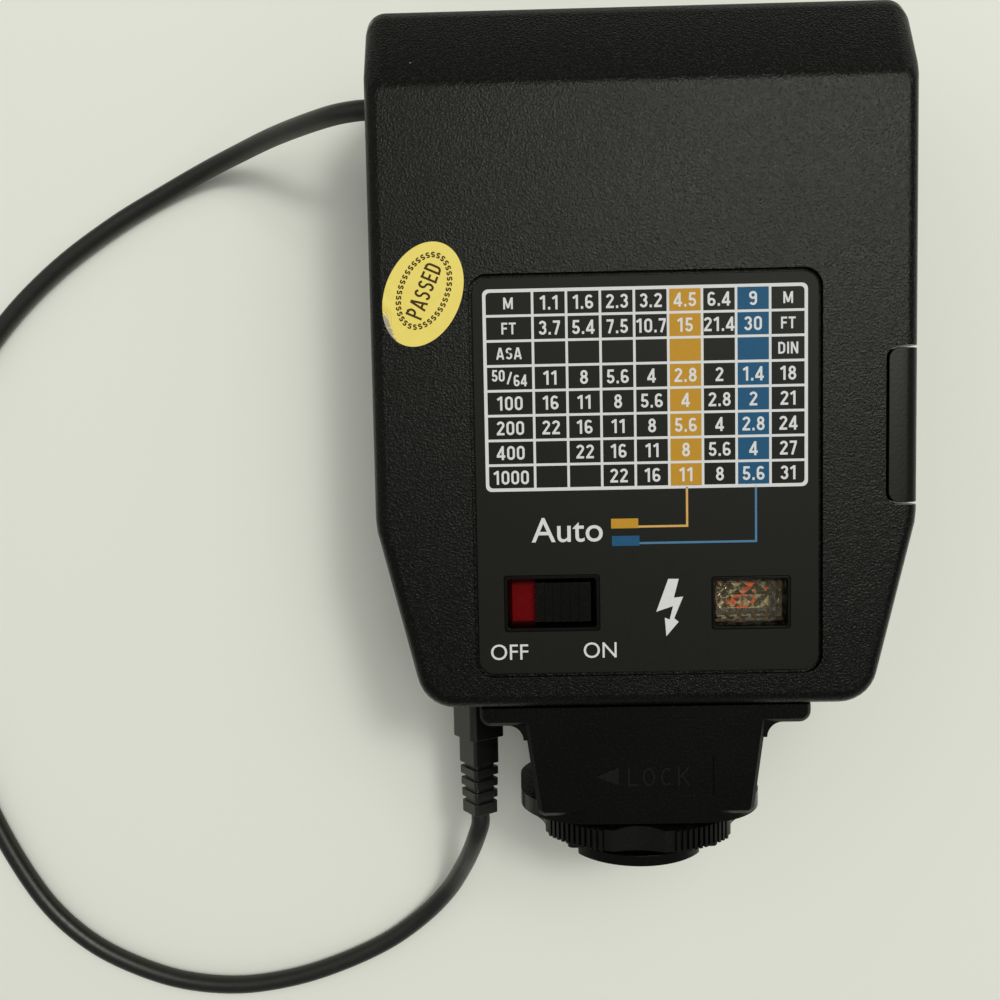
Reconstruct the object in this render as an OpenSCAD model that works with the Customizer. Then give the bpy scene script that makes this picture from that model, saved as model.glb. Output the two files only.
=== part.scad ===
// Shoe mount flash with a sync lead, lying on its front face as it is put down on a table.
// X runs across the body, Y from the shoe foot to the flash head, and Z from the front face to the rear.

/* [Body] */
// Width of the body
body_w = 75.4; // [73:0.2:80]
// Length of the body from its bottom edge to the head
body_l = 98; // [96:0.5:106]
// Depth of the body from the front face to the rear face
body_t = 38; // [38:0.5:42]
// Width across the bottom edge, where the tapered sides would meet it
bottom_w = 62.6; // [61:0.2:67]
// Length of the tapered lower part
taper_l = 26; // [22:0.1:27.6]
// Wall of the two mouldings
wall = 2.2; // [2:0.1:2.4]
// Height of the parting line above the front face
split_z = 16; // [15:0.5:18]
// Rounding of the rear edges
rear_edge_r = 2; // [1:0.1:2.4]
// Rounding of the front edges
front_edge_r = 1.5; // [0.6:0.1:2]
// Corner radius at the bottom
bottom_corner_r = 5.5; // [4:0.1:7]
// Softening where the taper meets the straight sides
shoulder_r = 9; // [4:0.5:16]
// Corner radius at the head
top_corner_r = 2.7; // [2.5:0.1:4]
// Length of the bevel at the head
bevel_l = 11.8; // [10:0.1:13.4]
// Drop of the bevel at the head
bevel_drop = 6; // [4:0.2:7]
// Shadow groove along the parting line
seam = 0.4; // [0.2:0.05:0.6]

/* [Label plate] */
// Label centre, across the body
label_x = 0.2; // [-0.4:0.1:0.4]
// Width of the label plate
label_w = 47.3; // [46:0.1:51]
// Height of the label plate
label_h = 54.9; // [52:0.1:57]
// Thickness of the label plate
label_t = 0.8; // [0.6:0.05:1]
// Distance of the plate from the body's bottom edge
label_up = 5.1; // [4:0.1:5.8]
// Corner radius of the label plate
label_r = 2.1; // [1:0.1:3]
// Groove around the label plate
label_groove = 0.5; // [0.3:0.05:0.7]
// How far the plate sits under the rear face
label_sink = 0.15; // [0.05:0.05:0.3]

/* [Power switch] */
// Switch centre, across the body
switch_x = -13.15; // [-14:0.05:-12]
// Switch centre, above the bottom edge
switch_up = 14.95; // [14.2:0.05:15.7]
// Width of the switch frame
switch_w = 13.2; // [12.4:0.1:14]
// Height of the switch frame
switch_h = 7.8; // [7:0.1:8.4]
// Width of the frame's border
switch_border = 1; // [0.8:0.05:1.2]
// Travel of the slide knob from ON to OFF
slider_travel = 3.4; // [3:0.1:3.8]
// Number of ribs on the knob
slider_ribs = 5; // [3:1:6]
// Rib pitch on the knob
slider_pitch = 1.2; // [1:0.05:1.3]

/* [Ready lamp] */
// Lamp centre, across the body
lamp_x = 14.5; // [13.5:0.1:15.5]
// Lamp centre, above the bottom edge
lamp_up = 14.6; // [13.7:0.1:15.3]
// Width of the lamp frame
lamp_w = 10.8; // [10.2:0.1:12]
// Height of the lamp frame
lamp_h = 7.3; // [7:0.1:8]
// Width of the frame's border
lamp_border = 0.75; // [0.6:0.05:0.9]
// Travel of the test button
press = 0.8; // [0.5:0.05:0.85]
// Pyramids along the lens
facets_x = 5; // [4:1:6]
// Pyramids across the lens
facets_y = 3; // [2:1:4]
// Height of a pyramid
facet_h = 0.8; // [0.4:0.05:0.9]

/* [Batteries] */
// Diameter of a cell
cell_d = 14.5; // [14:0.1:14.6]
// Length of a cell with its nub
cell_l = 50.5; // [49.5:0.1:50.8]
// Distance between the two cells' axes
cell_pitch = 16; // [15.9:0.1:16.2]
// Gap around a cell in the tray
cell_clear = 0.35; // [0.2:0.05:0.4]
// Height of the cells' axes above the bottom edge
cell_up = 38.8; // [38.3:0.1:39.3]
// Wall of the battery tray
tray_wall = 1.2; // [1:0.05:1.4]
// Free length for the contact spring
spring_l = 3.3; // [3:0.1:3.6]

/* [Battery door] */
// Height of the door
door_h = 21.2; // [20.6:0.1:21.6]
// Width of the door's lip on the rear face
door_lip = 4.35; // [4:0.05:5]
// Gap around the door
door_gap = 0.35; // [0.25:0.05:0.4]
// Corner radius of the lip
door_r = 1.5; // [0.8:0.1:2]
// Height of the hinge above the front face
hinge_z = 6; // [5.6:0.1:6.4]
// Radius of the hinge barrel
hinge_r = 1.7; // [1.5:0.05:1.8]
// Radius of the hinge pin
pin_r = 0.75; // [0.6:0.05:0.9]
// Length of each fixed hinge ear
ear_l = 3; // [2.5:0.1:4]

/* [Flash head] */
// Distance of the window opening from the body's sides
window_side = 7.7; // [7.4:0.1:9]
// Height of the window opening
window_h = 31; // [28:0.5:31.5]
// Centre of the window above the bottom edge
window_up = 77.7; // [77.2:0.1:78.1]
// Ribs on the window
window_ribs = 14; // [8:1:18]
// Depth of the reflector
reflector_t = 15.6; // [14:0.1:15.8]
// Diameter of the flash tube
tube_d = 4.5; // [4:0.1:5]
// Distance of the tube's ends from the reflector's ends
tube_in = 3; // [2.6:0.1:3.4]

/* [Auto exposure] */
// Eye centre, across the body
eye_x = 14; // [13:0.5:15]
// Height of the eye and the mode slider above the bottom edge
eye_up = 53.9; // [53.7:0.1:54.3]
// Radius of the eye
eye_r = 2.8; // [2.4:0.1:3]
// Distance between two positions of the mode slider
mode_step = 4; // [3.6:0.1:4.2]
// Centre of the mode knob, across the body
mode_x = -4; // [-5:0.5:-3]

/* [Foot] */
// Width of the foot bracket's flange
flange_w = 47.4; // [46.4:0.2:49]
// Thickness of the flange
flange_t = 3.3; // [3.2:0.1:4]
// Width of the bracket under the flange
bracket_w = 35; // [34:0.2:36]
// Width of the bracket at its lower edge
bracket_low_w = 31.2; // [30:0.2:32]
// Height of the bracket
bracket_l = 16.6; // [16:0.1:17.8]
// Depth of the bracket
bracket_t = 26; // [24:0.5:27]
// How far the bracket stays under the rear face
bracket_back = 3; // [2:0.1:4]
// Width of the rounded base under the bracket
base_w = 36; // [34:0.2:37]
// Thickness of the base
base_t = 1.2; // [1:0.1:1.6]
// Corner radius of the base
base_r = 10; // [7:0.5:11]
// Fillet under the flange
bracket_fillet = 2.2; // [1.6:0.1:2.6]
// Width of the recessed plaque
plaque_w = 19.5; // [18:0.1:22]
// Height of the recessed plaque
plaque_h = 5.9; // [5:0.1:6.6]
// Distance of the foot's axis from the rear face
foot_back = 18; // [17:0.1:19]
// Diameter of the lock wheel
wheel_d = 33.2; // [32:0.2:34]
// Thickness of the lock wheel
wheel_t = 3.6; // [3.4:0.1:4]
// Places for a rib around the wheel
wheel_ribs = 110; // [80:5:120]
// Thumb scallops around the wheel
scallops = 5; // [4:1:6]
// Depth of a thumb scallop
scallop = 1.6; // [1:0.1:2]
// Width of a thumb scallop
scallop_w = 8.6; // [7:0.2:10]
// Travel of the clamp plate
clamp_travel = 0.9; // [0.6:0.05:1]
// Width of the clamp plate
clamp_w = 22.3; // [20.5:0.1:24]
// Thickness of the clamp plate
clamp_t = 1.5; // [1.4:0.05:2]
// Free height of the shoe slot
shoe_gap = 1.5; // [1.4:0.05:2.2]
// Width of the shoe foot
foot_w = 18.6; // [18.2:0.05:18.8]
// Length of the shoe foot
foot_l = 19; // [18:0.1:20]
// Thickness of the shoe foot
foot_t = 1.7; // [1.6:0.05:2]
// Radius of the foot's rounded rear edge
foot_r = 11.1; // [10:0.1:13]
// Width of the neck in the shoe slot
neck_w = 12.2; // [11:0.1:12.5]
// Diameter of the lock stud
stud_d = 9; // [8:0.1:9.6]
// How far the contact pin stands out
pin_out = 1; // [0.6:0.05:1.2]

/* [Inside] */
// Diameter of the main capacitor
capacitor_d = 19; // [17:0.5:19.5]
// Length of the main capacitor
capacitor_l = 42; // [36:0.5:42]
// Width of the circuit board
board_w = 52; // [50:0.5:53]
// Height of the circuit board
board_h = 20; // [19:0.5:22]
// Thickness of a circuit board
board_t = 1.6; // [1.2:0.1:1.6]
// Width of the transformer
transformer_w = 11; // [9:0.5:11.5]
// Radius of the screw bosses
boss_r = 2.6; // [2.4:0.1:2.7]
// Radius of the case screws
screw_r = 1.3; // [1:0.1:1.5]

/* [Sync lead] */
// Diameter of the lead
cord_d = 3; // [2.5:0.1:3.2]
// Side of the square plug head
plug_side = 6.3; // [6:0.1:6.8]
// Length of the plug head
plug_l = 10; // [8:0.1:12]
// Length of the ribbed boot
boot_l = 12.6; // [12:0.1:15]
// Side of the boot at the plug head
boot_side = 4.8; // [4.2:0.1:5.4]
// Side of the boot at the lead
boot_end_side = 4.3; // [3.8:0.1:4.8]
// Grooves around the boot
boot_grooves = 4; // [2:1:5]
// Turn of the plug about its own axis
plug_turn = 36; // [0:1:45]
// Diameter of the far plug's grip
grip_d = 7.4; // [6.6:0.1:7.5]
// Length of the far plug's grip
grip_l = 11; // [9:0.1:12]

/* [Hidden] */
$fn = 64;

// Facets of a circle that a smooth loft is built from
loft_fn = 32;
// Thickness of a loft's slices
slice_t = 0.01;
// Overshoot of a cut past the face that it opens
over = 1;
// Running clearance of a pin or shaft in its bore
run = 0.05;
// Gap of a sliding piece in its guide
slide_gap = 0.12;

// Places along Y
wheel_gap = 0.3;
clamp_gap = 0.1;
foot_drop = bracket_l + base_t + wheel_gap + wheel_t + clamp_gap + clamp_t + shoe_gap + foot_t;
total_l = body_l + foot_drop + pin_out;
body_y = total_l / 2 - body_l;
body_top = body_y + body_l;
bracket_y = body_y - bracket_l;
base_y = bracket_y - base_t;
wheel_y = base_y - wheel_gap - wheel_t;
clamp_y = wheel_y - clamp_gap - clamp_t;
slot_y = clamp_y - shoe_gap;
foot_y = slot_y - foot_t;
foot_z = body_t - foot_back;
side_x = body_w / 2;

// Inner faces of the mouldings
inner_x = side_x - wall;
inner_rear = body_t - wall;
bevel_a = atan(bevel_drop / bevel_l);
bevel_z = body_t - bevel_drop;
taper_a = atan((body_w - bottom_w) / 2 / taper_l);
edge_steps = 4;
crest_soft = 0.9;
ridge_soft = 0.7;
cavity_cut = 1.2;
least_r = 0.4;

// A place on the body: x across, up from the bottom edge, z above the front face
function at(x, up, z) = [x, body_y + up, z];

// Corner circles of the right half of the outline, moved in by inset, as [x, y, r]
function left_r(r, inset) = max(r - inset, least_r);
function outline(inset, top) = let (
    b = left_r(bottom_corner_r, inset),
    s = left_r(shoulder_r, inset),
    t = left_r(top_corner_r, inset)
) [
    [bottom_w / 2 + (inset + b) * (tan(taper_a) - 1 / cos(taper_a)), body_y + inset + b, b],
    [side_x - inset - s, body_y + taper_l + (inset + s) * tan(taper_a / 2), s],
    [side_x - inset - t, top - t, t]
];

// Top edge of a slice at height z, under the bevel moved in by depth
function bevel_top(z, depth) =
    body_top - max(depth, (z + depth / cos(bevel_a) - bevel_z) * bevel_l / bevel_drop);

// Slices of the outside as [z, inset, top], set back by skin
function outer_slices(skin) = concat(
    [for (i = [0 : edge_steps]) let (a = 90 * i / edge_steps, inset = front_edge_r * (1 - sin(a)) + skin)
        [front_edge_r * (1 - cos(a)), inset, body_top - inset]],
    [[bevel_z - ridge_soft, skin, body_top - skin],
     [bevel_z + ridge_soft, skin, bevel_top(bevel_z + ridge_soft, skin)]],
    [for (i = [0 : edge_steps]) let (a = 90 * i / edge_steps, z = body_t - rear_edge_r * (1 - sin(a)))
        [z, rear_edge_r * (1 - cos(a)) + skin, bevel_top(z, skin) - (i == edge_steps ? crest_soft : 0)]]
);

module loft(slices) {
    hull()
        for (s = slices, c = outline(s[1], s[2]), side = [-1, 1])
            translate([side * c[0], c[1], min(s[0], body_t - slice_t)])
                cylinder(r = c[2], h = slice_t, $fn = loft_fn);
}

// Inside of the case: the outline moved in by the wall, with its lower corners cut off, under the bevel
module cavity() {
    low_y = body_y + wall;
    low_x = bottom_w / 2 + wall * (tan(taper_a) - 1 / cos(taper_a));
    knee_y = body_y + taper_l + wall * tan(taper_a / 2);
    right = [[low_x - cavity_cut, low_y], [low_x + cavity_cut * tan(taper_a), low_y + cavity_cut],
             [inner_x, knee_y], [inner_x, body_top - wall]];
    left = [for (i = [len(right) - 1 : -1 : 0]) [-right[i][0], right[i][1]]];
    difference() {
        translate([0, 0, wall])
            linear_extrude(inner_rear - wall)
                polygon(concat(right, left));
        translate([-body_w, body_top - bevel_l, body_t - wall / cos(bevel_a)])
            rotate([-bevel_a, 0, 0])
                translate([0, -over, 0])
                    cube([2 * body_w, 2 * bevel_l, body_t]);
    }
}

module body_form(skin = 0) {
    loft(outer_slices(skin));
}

module body_band(low, high) {
    translate([-body_w, body_y - over, low])
        cube([2 * body_w, body_l + 2 * over, high - low]);
}

module rounded(w, h, r) {
    square([w - 2 * r, h], center = true);
    square([w, h - 2 * r], center = true);
    for (x = [-1, 1], y = [-1, 1])
        translate([x * (w / 2 - r), y * (h / 2 - r)])
            circle(r);
}

module slab(w, h, r, t) {
    linear_extrude(t)
        rounded(w, h, r);
}

// Puts a piece's own Z along the body's Y, starting at y, on the foot's axis
module on_foot_axis(y) {
    translate([0, y, foot_z])
        rotate([-90, 0, 0])
            children();
}

// A round rod along X or along Y, from its start point
module rod_x(r, l) {
    rotate([0, 90, 0])
        cylinder(r = r, h = l);
}

module rod_y(r, l) {
    rotate([-90, 0, 0])
        cylinder(r = r, h = l);
}

// A tube of n sides swept through points, with its rings set square to the path
function unit(v) = v / norm(v);
function tangent(p, i) = unit(p[min(i + 1, len(p) - 1)] - p[max(i - 1, 0)]);
function ring(p, i, r, n, up) = let (
    t = tangent(p, i),
    s = unit(cross(t, up)),
    u = cross(s, t)
) [for (k = [0 : n - 1]) p[i] + r * (cos(360 * k / n) * s + sin(360 * k / n) * u)];

module swept_tube(p, r, n, up) {
    rings = len(p);
    points = [for (i = [0 : rings - 1]) each ring(p, i, r, n, up)];
    side = [for (i = [0 : rings - 2], k = [0 : n - 1]) let (a = i * n, b = a + n, m = (k + 1) % n)
        each [[a + k, b + k, b + m], [a + k, b + m, a + m]]];
    ends = [for (k = [1 : n - 2]) let (z = (rings - 1) * n)
        each [[0, k, k + 1], [z, z + k + 1, z + k]]];
    polyhedron(points = points, faces = concat(side, ends), convexity = 8);
}

// A coil about Z with flat runs at its ends: turns, length and the radius at each end
coil_rings = 12;
function coil(turns, l, r0, r1) = [for (i = [0 : turns * coil_rings]) let (
    f = i / (turns * coil_rings),
    a = 360 * i / coil_rings,
    r = r0 + (r1 - r0) * f
) [r * cos(a), r * sin(a), l * f]];

// A Catmull-Rom curve through points, with steps pieces to a span
function spline_at(a, b, c, d, f) = 0.5 * (2 * b + (c - a) * f + (2 * a - 5 * b + 4 * c - d) * f * f
    + (3 * b - a - 3 * c + d) * f * f * f);
function spline(p, steps) = let (last = len(p) - 1) concat(
    [for (i = [0 : last - 1], k = [0 : steps - 1])
        spline_at(p[max(i - 1, 0)], p[i], p[i + 1], p[min(i + 2, last)], k / steps)],
    [p[last]]
);

// Label plate
label_z = body_t - label_sink - label_t;
label_at = at(label_x, label_up + label_h / 2, label_z);

// Switch, from the circuit board up to the knob
board_drop = 4.6;
board_top = inner_rear - board_drop;
board_up = 4.7;
flange_lap = 1;
flange_depth = 1.05;
flange_z = inner_rear - flange_depth;
switch_open_w = switch_w - 2 * switch_border;
switch_open_h = switch_h - 2 * switch_border;
frame_top = body_t - label_sink;
knob_w = switch_open_w - slider_travel - slide_gap;
knob_h = switch_open_h - 2 * slide_gap;
knob_x = switch_x + switch_open_w / 2 - slide_gap - knob_w / 2;
knob_top = body_t - 0.9;
knob_low = flange_z + 0.65;
flag_t = 0.5;
slider_base_t = 0.9;
slider_base_z = flange_z - slide_gap - slider_base_t;
switch_can_h = slider_base_z - slide_gap - board_top;
stem_w = 2;
stem_l = 1.2;
rib_w = 0.5;
rib_h = 0.35;

// Ready lamp and test button
lamp_open_w = lamp_w - 2 * lamp_border;
lamp_open_h = lamp_h - 2 * lamp_border;
button_w = lamp_open_w - 2 * slide_gap;
button_h = lamp_open_h - 2 * slide_gap;
button_top = body_t - 0.7;
button_low = flange_z + 0.25;
button_rim = 0.7;
button_rim_t = 0.75;
button_rim_z = flange_z - run - button_rim_t;
neon_gap = 0.2;
neon_d = button_low - press - neon_gap - board_top;
neon_l = 6.6;
leaf_t = 0.25;
leaf_w = 0.8;

// Batteries
cell_y = body_y + cell_up;
tray_bore = cell_d / 2 + cell_clear;
tray_end = side_x - 2 * hinge_r - 2 * door_gap;
cell_end = tray_end + 0.3;
cell_start = cell_end - cell_l;
contact_t = 0.4;
contact_side = 10;
tray_floor = cell_start - spring_l - contact_t;
tray_start = tray_floor - tray_wall;
// Gap between the tray and the rear moulding
tray_gap = 0.2;
tray_t = inner_rear - wall - tray_gap;
tray_w = 2 * (tray_bore + tray_wall);
cell_z = wall + tray_t / 2;
nub_r = 2.7;
nub_l = 1;
spring_wire = 0.5;
spring_turns = 3;

// Door and hinge
door_y = cell_y - door_h / 2;
hinge_x = side_x - hinge_r;
barrel_gap = 0.3;
door_contact_w = 9;
door_strip_past = 2.2;
door_pad = 1.1;

// Screw bosses as [x, up]
boss_sink = 0.4;
boss_up = 10;
boss_low = [bottom_w / 2 + boss_up * tan(taper_a) - wall / cos(taper_a) - boss_r + boss_sink, boss_up];
boss_high = [inner_x - boss_r + boss_sink, body_l - wall - boss_r + boss_sink];
bosses = [for (b = [boss_low, boss_high], side = [-1, 1]) [side * b[0], b[1]]];
head_r = 2.2;
head_t = 1.3;
head_sink = 1.8;
screw_clear = 0.2;
screw_bite = 9;
function boss_top(up) = min(inner_rear + 0.5,
    body_t - 1.2 - max(0, up + boss_r - (body_l - bevel_l)) * bevel_drop / bevel_l);

// Board posts as [x, up]
post_r = 1.6;
posts = [for (x = [-1, 1], up = [2.2, board_h - 2.2]) [x * (board_w / 2 - 2.6), board_up + up]];

// Main capacitor on its two cradles
capacitor_up = board_up + 10.5;
capacitor_z = wall + 1.6 + capacitor_d / 2;
capacitor_x = boss_low[0] - boss_r - 0.9 - capacitor_l;
cradle_t = 2;
cradle_h = 5;

// Head
window_w = body_w - 2 * window_side;
window_z = 0.4;
window_flange_t = 1;
window_lap = 0.8;
window_fit = 0.1;
reflector_z = wall + window_flange_t;
reflector_wall = 0.8;
reflector_back_r = 5;
reflector_w = window_w - 2;
tube_l = reflector_w - 2 * tube_in;
reflector_h = window_h - 1;
tube_z = reflector_z + reflector_t - reflector_back_r - 0.8;
boot_r = tube_d / 2 + 0.9;
boot_w = 4.2;
electrode_r = 0.5;
electrode_l = 3.4;

// Auto exposure
rail_t = 1;
rail_h = 3.8;
mode_plate_t = 1;
mode_plate_h = 8;
mode_plate_z = wall + slide_gap;
mode_knob_w = 4.6;
mode_knob_h = 3.4;
mode_knob_z = 0.3;
mode_stops = [1.2, 2.2, 3.4];
rail_low_x = mode_x - 12;
rail_high_x = eye_x + 8;
eye_step = 0.4;
eye_sink = 0.4;

// Foot
bracket_edge = 0.6;
bracket_corner_r = 1.2;
flange_top_r = 0.8;
flange_gap = 0.05;
flange_corner_r = flange_t / 2 - flange_gap;
plaque_t = 0.3;
plaque_up = 5.75;
stud_r = stud_d / 2;
stud_in = 9;
stud_bore_r = 2.4;
stud_bore_l = 13;
seat = 0.02;
rib_tall = 0.5;
wheel_r = wheel_d / 2;
wheel_chamfer_h = 0.5;
wheel_chamfer = 1.2;
// Turn of the wheel at rest, with a scallop near the rear
wheel_rest = -94;
// Play of the wheel's thread on the stud
thread_gap = 0.8;
scallop_step = 360 / scallops;
scallop_sag = wheel_r - sqrt(wheel_r * wheel_r - scallop_w * scallop_w / 4);
scallop_r = (scallop_w * scallop_w / 4 + pow(scallop - scallop_sag, 2)) / (2 * (scallop - scallop_sag));
scallop_a = asin(scallop_w / 2 / wheel_r);
clamp_l = 20;
clamp_r = 0.8;
clamp_run = 0.08;
neck_l = 11;
pin_tip_r = 1.2;
pin_collar_r = 1.9;
pin_collar_t = 1;
insulator_l = 5.4;
pin_spring_l = stud_bore_l + foot_t / 2 - insulator_l - run - pin_collar_t;
pin_spring_turns = 5;
pin_wire = 0.5;
bracket_screw_x = 15;
bracket_screw_z = 8;
bracket_screw_r = 1.2;
bracket_screw_l = 3;

// Sync plug in the bottom edge and far plug in the left side
plug_in = 6.55;
plug_x = plug_in - bottom_w / 2;
plug_z = 16;
plug_r = 1;
plug_relief = 0.8;
socket_r = 3.2;
socket_l = 6.6;
socket_flange = 0.6;
plug_pin_r = 0.6;
plug_pin_l = 4.5;
plug_pin_pitch = 3;
groove_w = 0.7;
groove_deep = 0.35;
park_up = 86.65;
park_z = 25;
holder_wall = 0.6;
sleeve_r = 2.6;
sleeve_l = 5;

// Length of lead that leaves the boot straight
cord_straight = 2;
// The lead's centre line: down from the boot, round the table, and up to the far plug
route = [
    [plug_x, body_y - plug_l - boot_l, plug_z],
    [plug_x, body_y - plug_l - boot_l - cord_straight, plug_z],
    [-25.4, -62.2, 15.3], [-26.6, -66, 12.5], [-28.3, -70.5, 8.5], [-31, -76, 4.5],
    [-35.5, -81.5, 2.2], [-42, -86.5, 1.5], [-50, -90.3, 1.5], [-59, -93.2, 1.5], [-69, -94.6, 1.5],
    [-79, -93.7, 1.5], [-88, -90.7, 1.5], [-96, -86.2, 1.5], [-103, -79.5, 1.5], [-109, -70, 1.5],
    [-114, -59, 1.5], [-118, -47, 1.5], [-120.5, -35, 1.5], [-121.5, -22, 1.5], [-120.5, -9.5, 1.5],
    [-117.5, 2.5, 1.5], [-112.5, 14.5, 1.5], [-105, 24.6, 1.5], [-96, 33.1, 1.5], [-86, 40.1, 1.5],
    [-77, 45.1, 1.7], [-69, 48.6, 3.5], [-62, 50.4, 7.5], [-56, 51.2, 12.5], [-50, 51.4, 18],
    [-44.5, 51.4, 22.7], [-40.5, 51.4, 24.7], [-side_x, body_y + park_up, park_z]
];
route_steps = 2;
cord_sides = 8;

// Space that the battery door fills, grown by gap
module door_space(gap) {
    low = hinge_z - hinge_r - gap;
    translate([side_x - 2 * hinge_r - gap, door_y - gap, low])
        cube([2 * hinge_r + gap + over, door_h + 2 * gap, body_t - low + over]);
    translate([side_x, cell_y, inner_rear - over])
        slab(2 * (door_lip + gap), door_h + 2 * gap, door_r + gap, wall + 2 * over);
}

module bracket_screw_places() {
    for (x = [-1, 1], z = [-1, 1])
        translate([x * bracket_screw_x, body_y, foot_z + z * bracket_screw_z])
            children();
}

module wall_openings() {
    bracket_screw_places()
        translate([0, -over, 0])
            rod_y(bracket_screw_r + screw_clear, wall + 2 * over);
    translate([plug_x, body_y - over, plug_z])
        rod_y(socket_r + run, wall + 2 * over);
}

module rear_shell() {
    color("#232322")
    difference() {
        union() {
            difference() {
                intersection() {
                    body_form();
                    body_band(split_z, body_t + over);
                }
                cavity();
            }
            for (b = bosses)
                translate(at(b[0], b[1], split_z))
                    cylinder(r = boss_r, h = boss_top(b[1]) - split_z);
            for (p = posts)
                translate(at(p[0], p[1], board_top))
                    cylinder(r = post_r, h = board_drop + wall / 2);
        }
        translate(label_at)
            slab(label_w + 2 * label_groove, label_h + 2 * label_groove, label_r + label_groove,
                 label_t + over);
        translate(at(switch_x, switch_up, inner_rear - over))
            slab(switch_w + 2 * run, switch_h + 2 * run, least_r, wall + 2 * over);
        translate(at(lamp_x, lamp_up, inner_rear - over))
            slab(lamp_w + 2 * run, lamp_h + 2 * run, least_r, wall + 2 * over);
        for (b = bosses)
            translate(at(b[0], b[1], split_z - over))
                cylinder(r = screw_r + seat, h = screw_bite + 2 * over);
        translate(at(-side_x - over, park_up, park_z))
            rod_x(grip_d / 2 + run, wall + 2 * over);
        wall_openings();
        door_space(door_gap);
    }
}

module hinge_ear(y) {
    translate([hinge_x, y, hinge_z])
        rod_y(hinge_r, ear_l);
    translate([side_x - 2 * hinge_r, y, hinge_z - hinge_r - 2 * door_gap])
        cube([2 * hinge_r, ear_l, hinge_r + 2 * door_gap]);
}

module front_shell() {
    ear_low = door_y;
    ear_high = door_y + door_h - ear_l;
    color("#1f1f1f")
    difference() {
        union() {
            difference() {
                union() {
                    intersection() {
                        body_form();
                        body_band(-over, split_z - seam);
                    }
                    intersection() {
                        body_form(seam);
                        body_band(split_z - seam - over, split_z);
                    }
                }
                cavity();
                door_space(door_gap);
            }
            for (b = bosses)
                translate(at(b[0], b[1], wall / 2))
                    cylinder(r = boss_r, h = split_z - wall / 2);
            for (x = [0.2, 0.8])
                translate([capacitor_x + x * capacitor_l - cradle_t / 2,
                           body_y + capacitor_up - capacitor_d / 2, wall / 2])
                    cube([cradle_t, capacitor_d, cradle_h]);
            for (y = [-1, 1])
                translate(at(rail_low_x, eye_up + y * (mode_plate_h / 2 + slide_gap) + (y < 0 ? -rail_t : 0),
                             wall / 2))
                    cube([rail_high_x - rail_low_x, rail_t, rail_h + wall / 2]);
            hinge_ear(ear_low);
            hinge_ear(ear_high);
        }
        translate([capacitor_x, body_y + capacitor_up, capacitor_z])
            rod_x(capacitor_d / 2 + run, capacitor_l);
        translate(at(0, window_up, -over))
            slab(window_w, window_h, top_corner_r, wall + 2 * over);
        translate(at(mode_x, eye_up, -over))
            slab(mode_knob_w + 2 * mode_step + 2 * slide_gap, mode_knob_h + 2 * slide_gap, least_r,
                 wall + 2 * over);
        translate(at(eye_x, eye_up, -over))
            cylinder(r = eye_r, h = wall + 2 * over);
        translate(at(eye_x, eye_up, wall / 2))
            cylinder(r = eye_r + eye_step, h = wall);
        for (b = bosses) {
            translate(at(b[0], b[1], -over))
                cylinder(r = screw_r + screw_clear, h = split_z + 2 * over);
            translate(at(b[0], b[1], -over))
                cylinder(r = head_r + screw_clear, h = head_sink + over);
        }
        translate([hinge_x, door_y - over, hinge_z])
            rod_y(pin_r + seat, door_h + 2 * over);
        wall_openings();
    }
}

module label_plate() {
    color("#2b2b2a")
    difference() {
        translate(label_at)
            slab(label_w, label_h, label_r, label_t);
        translate(at(switch_x, switch_up, label_z - over))
            slab(switch_w + 2 * run, switch_h + 2 * run, least_r, label_t + 2 * over);
        translate(at(lamp_x, lamp_up, label_z - over))
            slab(lamp_w + 2 * run, lamp_h + 2 * run, least_r, label_t + 2 * over);
    }
}

// A frame for an opening in the rear face, with a flange behind the wall and a bevelled mouth
module frame(w, h, border) {
    mouth = border * 0.6;
    difference() {
        union() {
            translate([0, 0, flange_z])
                slab(w + 2 * flange_lap, h + 2 * flange_lap, least_r, flange_depth);
            translate([0, 0, flange_z])
                slab(w, h, least_r, frame_top - flange_z);
        }
        translate([0, 0, flange_z - over])
            slab(w - 2 * border, h - 2 * border, least_r / 2, body_t - flange_z + over);
        hull() {
            translate([0, 0, frame_top])
                slab(w - 2 * (border - mouth), h - 2 * (border - mouth), least_r, slice_t);
            translate([0, 0, frame_top - 2 * mouth])
                slab(w - 2 * border, h - 2 * border, least_r / 2, slice_t);
        }
    }
}

module switch_bezel() {
    color("#121212")
    translate(at(switch_x, switch_up, 0))
        frame(switch_w, switch_h, switch_border);
}

module switch_flag() {
    flag_w = slider_travel;
    color("#c01823")
    translate(at(switch_x - switch_open_w / 2 + flag_w / 2, switch_up, flange_z))
        slab(flag_w, switch_open_h, least_r / 2, flag_t);
}

module power_slider() {
    neck_x = knob_x + knob_w / 2 - (knob_w - slider_travel) / 2;
    color("#171717")
    translate(at(0, switch_up, 0)) {
        translate([knob_x, 0, knob_low])
            slab(knob_w, knob_h, least_r / 2, knob_top - rib_h - knob_low);
        for (i = [0 : slider_ribs - 1])
            translate([knob_x + (i - (slider_ribs - 1) / 2) * slider_pitch - rib_w / 2, -knob_h / 2,
                       knob_low])
                cube([rib_w, knob_h, knob_top - knob_low]);
        translate([neck_x, 0, slider_base_z])
            slab(knob_w - slider_travel - slide_gap, knob_h, least_r / 2, knob_low - slider_base_z);
        translate([neck_x, 0, slider_base_z])
            slab(knob_w, switch_h, least_r, slider_base_t);
        translate([neck_x - stem_w / 2, -stem_w / 2, slider_base_z - stem_l])
            cube([stem_w, stem_w, stem_l + slider_base_t / 2]);
    }
}

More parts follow.
